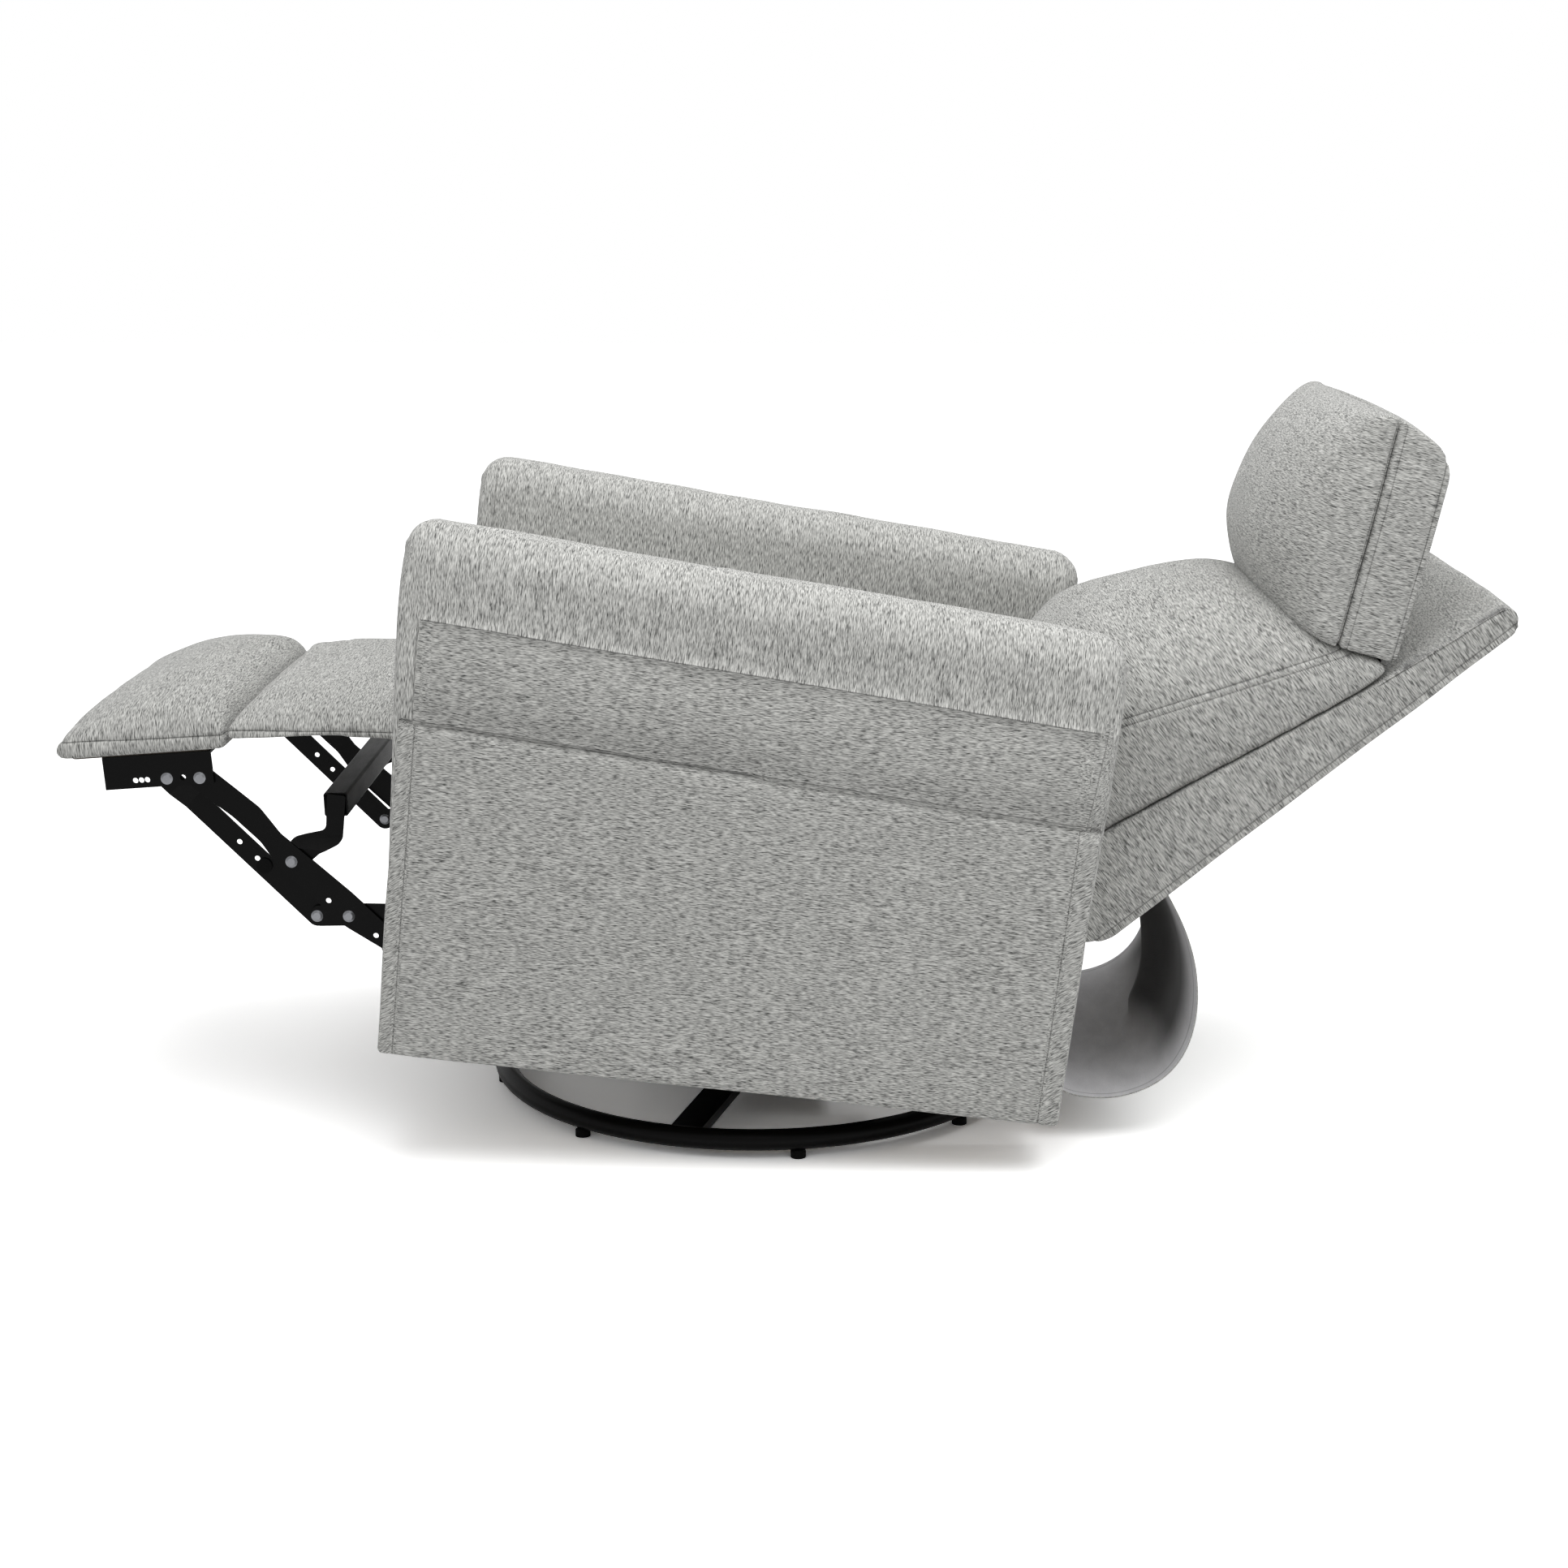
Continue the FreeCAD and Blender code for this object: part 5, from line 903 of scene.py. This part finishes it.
def makePad(name, part, corners, sewn, replaced, low):
    mesh = sideBlank(corners, -footSet["half"], footSet["half"])

    def shape(spot):
        x, y, z = spot
        across = max(0.0, 1 - (abs(x) / (footSet["half"] + 0.003)) ** 3.2) ** 0.6
        rise = part["crown"] * across * along(y, part["profile"]) * smooth(z, *part["base"])
        return Vector((x, y, z + rise))

    def pinned(spot):
        return 1.0 if spot.z < low(spot.y) + 0.004 else 0.0

    mesh = stuffed(mesh, shape, pinned, footSet)
    rumple(mesh, 0.0013, 0.05, 61.0, lambda spot: spot.z > low(spot.y) + 0.006)
    spot, normal, within = sewn
    seam(mesh, spot, normal, 0.0022, 0.0040, within, 0.9)
    piece = finish(name, mesh, padFrame, [padCloth, wideCloth], facing(1))
    dress(piece, "footrest", "upholstery", replaced, fill=0.8)


makePad("footrestFront", footSet["front"],
        [(-0.4100, -0.0190, 0.005), (-0.2150, -0.0190, 0.003), (-0.2150, 0.0040, 0.006),
         (-0.330, 0.0060, 0.0), (-0.4120, -0.0010, 0.004)],
        ((0, -0.33, 0.0005), (0, 0.02, 1), lambda spot: abs(spot.x) > 0.235 or spot.y < -0.40),
        "footrest_front_cushion", lambda y: -0.0190)
makePad("footrestRear", footSet["rear"],
        [(-0.2130, -0.0110, 0.002), (-0.0800, -0.0160, 0.0), (-0.0010, -0.0240, 0.003),
         (-0.0010, -0.0120, 0.003), (-0.0750, -0.0010, 0.0), (-0.2130, 0.0010, 0.005)],
        ((0, -0.08, -0.0075), (0, 0.08, 1), lambda spot: abs(spot.x) > 0.235 or spot.y > -0.012),
        "footrest_rear_cushion", lambda y: along(y, [(-0.213, -0.011), (-0.08, -0.016), (0.0, -0.024)]))


# Skirt: a loop of cloth from the back's lower edge to the lower rear rail

skirtSet = {
    "half": 0.2495, "thick": 0.0016, "hem": 0.011, "wave": 0.007, "pleat": 0.030, "tuck": 0.010, "sag": 0.008,
}


def backPoint(depth, height):
    turn = math.radians(45)
    return (0.285 + math.cos(turn) * depth + math.sin(turn) * height,
            0.300 - math.sin(turn) * depth + math.cos(turn) * height)


def makeSkirt(skirt=skirtSet):
    path = [backPoint(0.0735, 0.150), (0.464, 0.326), (0.484, 0.290), (0.497, 0.248),
            (0.502, 0.204), (0.496, 0.162), (0.477, 0.128), (0.442, 0.103), (0.394, 0.090),
            (0.3360, 0.0985), (0.3358, 0.138)]
    curve = bpy.data.curves.new("skirtLine", "CURVE")
    curve.dimensions = "3D"
    line = curve.splines.new("NURBS")
    line.points.add(len(path) - 1)
    for point, (y, z) in zip(line.points, path):
        point.co = (0, y, z, 1)
    line.order_u = 4
    line.use_endpoint_u = True
    curve.resolution_u = 6
    holder = bpy.data.objects.new("skirtLine", curve)
    scene.collection.objects.link(holder)
    data = bpy.data.meshes.new_from_object(holder)
    bpy.data.objects.remove(holder)
    mesh = bmesh.new()
    mesh.from_mesh(data)
    bmesh.ops.translate(mesh, vec=(-skirt["half"], 0, 0), verts=mesh.verts[:])
    row = mesh.edges[:]
    wide = skirt["half"] * 2
    made = bmesh.ops.extrude_edge_only(mesh, edges=row)
    bmesh.ops.translate(mesh, vec=(wide, 0, 0),
                        verts=[item for item in made["geom"] if isinstance(item, bmesh.types.BMVert)])
    slices(mesh, 0, steps(-skirt["half"], skirt["half"], 0.014))
    for side in (-1, 1):
        for gap in (0.0015, skirt["hem"] - 0.002, skirt["hem"], skirt["hem"] + 0.002):
            slices(mesh, 0, [side * (skirt["half"] - gap)])
    mark = mesh.verts.layers.float.new("seam")
    deep = mesh.verts.layers.float.new("deep")
    for point in mesh.verts:
        x, y, z = point.co
        free = smooth(z, 0.10, 0.16) * smooth(-z, -0.44, -0.32)
        wave = noise.noise(Vector((x * 9, y * 5, z * 6)))
        inner = 1 - (abs(x) / skirt["half"]) ** 4
        pleat = math.exp(-((x - 0.02) / 0.045) ** 2)
        point.co.y += free * (skirt["wave"] * wave * inner - skirt["pleat"] * pleat - skirt["tuck"] * inner)
        point.co.z -= skirt["sag"] * free * wave * inner
        # the lining lies in shade away from its rims and its lowest part
        point[deep] = smooth(skirt["half"] - abs(x), 0.002, 0.075) * smooth(z, 0.108, 0.170)
        # painted shade along the hem seams: the seam mark on the cloth, and more shade on the lining
        if abs(abs(x) - (skirt["half"] - skirt["hem"])) < 0.0005:
            point[mark] = 0.8
            point[deep] = max(point[deep], 0.45)
    bmesh.ops.recalc_face_normals(mesh, faces=mesh.faces[:])
    piece = finish("rearSkirt", mesh, bodyFrame, [wideCloth, lining])
    thick = piece.modifiers.new("thick", "SOLIDIFY")
    thick.thickness = skirt["thick"]
    thick.offset = 0
    thick.material_offset = 1
    piece.data = baked(piece)
    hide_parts("rear_skirt")
    start = bodyFrame @ Vector((0, 0.40, 0.14))
    end = bodyFrame @ Vector((0, 0.43, 0.345))
    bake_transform(piece, "chassis", "backrest", start=start, end=end)


makeSkirt()


# Finishes of the CAD nodes that stay

finishes = [
    (blackSteel, ["base_ring", "base_crossbars", "hub_spindle", "swivel_channel", "glide_stands",
                  "front_glide_links", "rear_glide_links", "left_side_rail", "right_side_rail",
                  "front_cross_tube", "rear_cross_tube", "glide_hangers", "back_brackets",
                  "headrest_hinge_lugs", "headrest_hinge_leaves", "rear_links", "main_links",
                  "tube_straps", "link_cross_tube", "cranks", "front_links", "guide_links",
                  "footrest_brackets"]),
    (zinc, ["spindle_nut", "lower_race", "bearing_balls", "upper_race", "stand_bolts",
            "glide_upper_pins", "glide_lower_pins", "recline_bolts"]),
    (rivetSteel, ["linkage_studs", "main_link_rivets", "crank_rivets", "footrest_rivets"]),
    (plywood, ["seat_front_rail", "seat_rear_rail", "lower_rear_rail", "left_arm_frame",
               "right_arm_frame", "back_board", "headrest_board"]),
    (stained, ["footrest_board"]),
    (webbing, ["seat_webbing"]),
    (plastic, ["release_lever"]),
    (rubber, ["base_feet", "link_bumpers"]),
]
for material, names in finishes:
    for name in names:
        nodes[name].data.materials.clear()
        nodes[name].data.materials.append(material)
bare = [name for name, node in nodes.items() if not node.hide_render
        and not any(name in names for material, names in finishes)]
print("nodes without a finish:", bare)


# Floor, light and backdrop

studioSet = {
    "world": 0.66, "key": 56.0, "keySize": 3.0, "keyPlace": (0.9, 0.5, 3.1),
    "floorTone": 0.68, "floorShown": 1.90,
}


def makeStudio(studio=studioSet):
    mesh = bmesh.new()
    bmesh.ops.create_grid(mesh, x_segments=1, y_segments=1, size=14)
    data = bpy.data.meshes.new("studioFloor")
    mesh.to_mesh(data)
    mesh.free()
    floor = bpy.data.objects.new("studioFloor", data)
    scene.collection.objects.link(floor)
    material, maker = newMaterial("paleFloor")
    seen = sightMask(maker)
    plain = maker.node("ShaderNodeBsdfDiffuse", {}, {"Color": (studio["floorTone"],) * 3 + (1,)})
    shown = maker.node("ShaderNodeBsdfDiffuse", {}, {"Color": (studio["floorShown"],) * 3 + (1,)})
    surface = maker.node("ShaderNodeMixShader", {}, {0: seen, 1: plain, 2: shown})
    maker.node("ShaderNodeOutputMaterial", {}, {"Surface": surface})
    data.materials.append(material)

    world = bpy.data.worlds.new("studioWorld")
    scene.world = world
    world.use_nodes = True
    tree = world.node_tree
    tree.nodes.clear()
    maker = Wire(tree)
    seen = sightMask(maker)
    strength = studio["world"] + seen * (1.0 - studio["world"])
    sky = maker.node("ShaderNodeBackground", {}, {"Color": (1, 1, 1, 1), "Strength": strength})
    maker.node("ShaderNodeOutputWorld", {}, {"Surface": sky})

    data = bpy.data.lights.new("topPanel", "AREA")
    data.shape = "RECTANGLE"
    data.size = studio["keySize"]
    data.size_y = studio["keySize"]
    data.energy = studio["key"]
    lamp = bpy.data.objects.new("topPanel", data)
    scene.collection.objects.link(lamp)
    lamp.location = studio["keyPlace"]
    lamp.rotation_euler = (Vector((0, 0, 0.4)) - lamp.location).to_track_quat("-Z", "Y").to_euler()


makeStudio()
scene.view_settings.view_transform = "Standard"
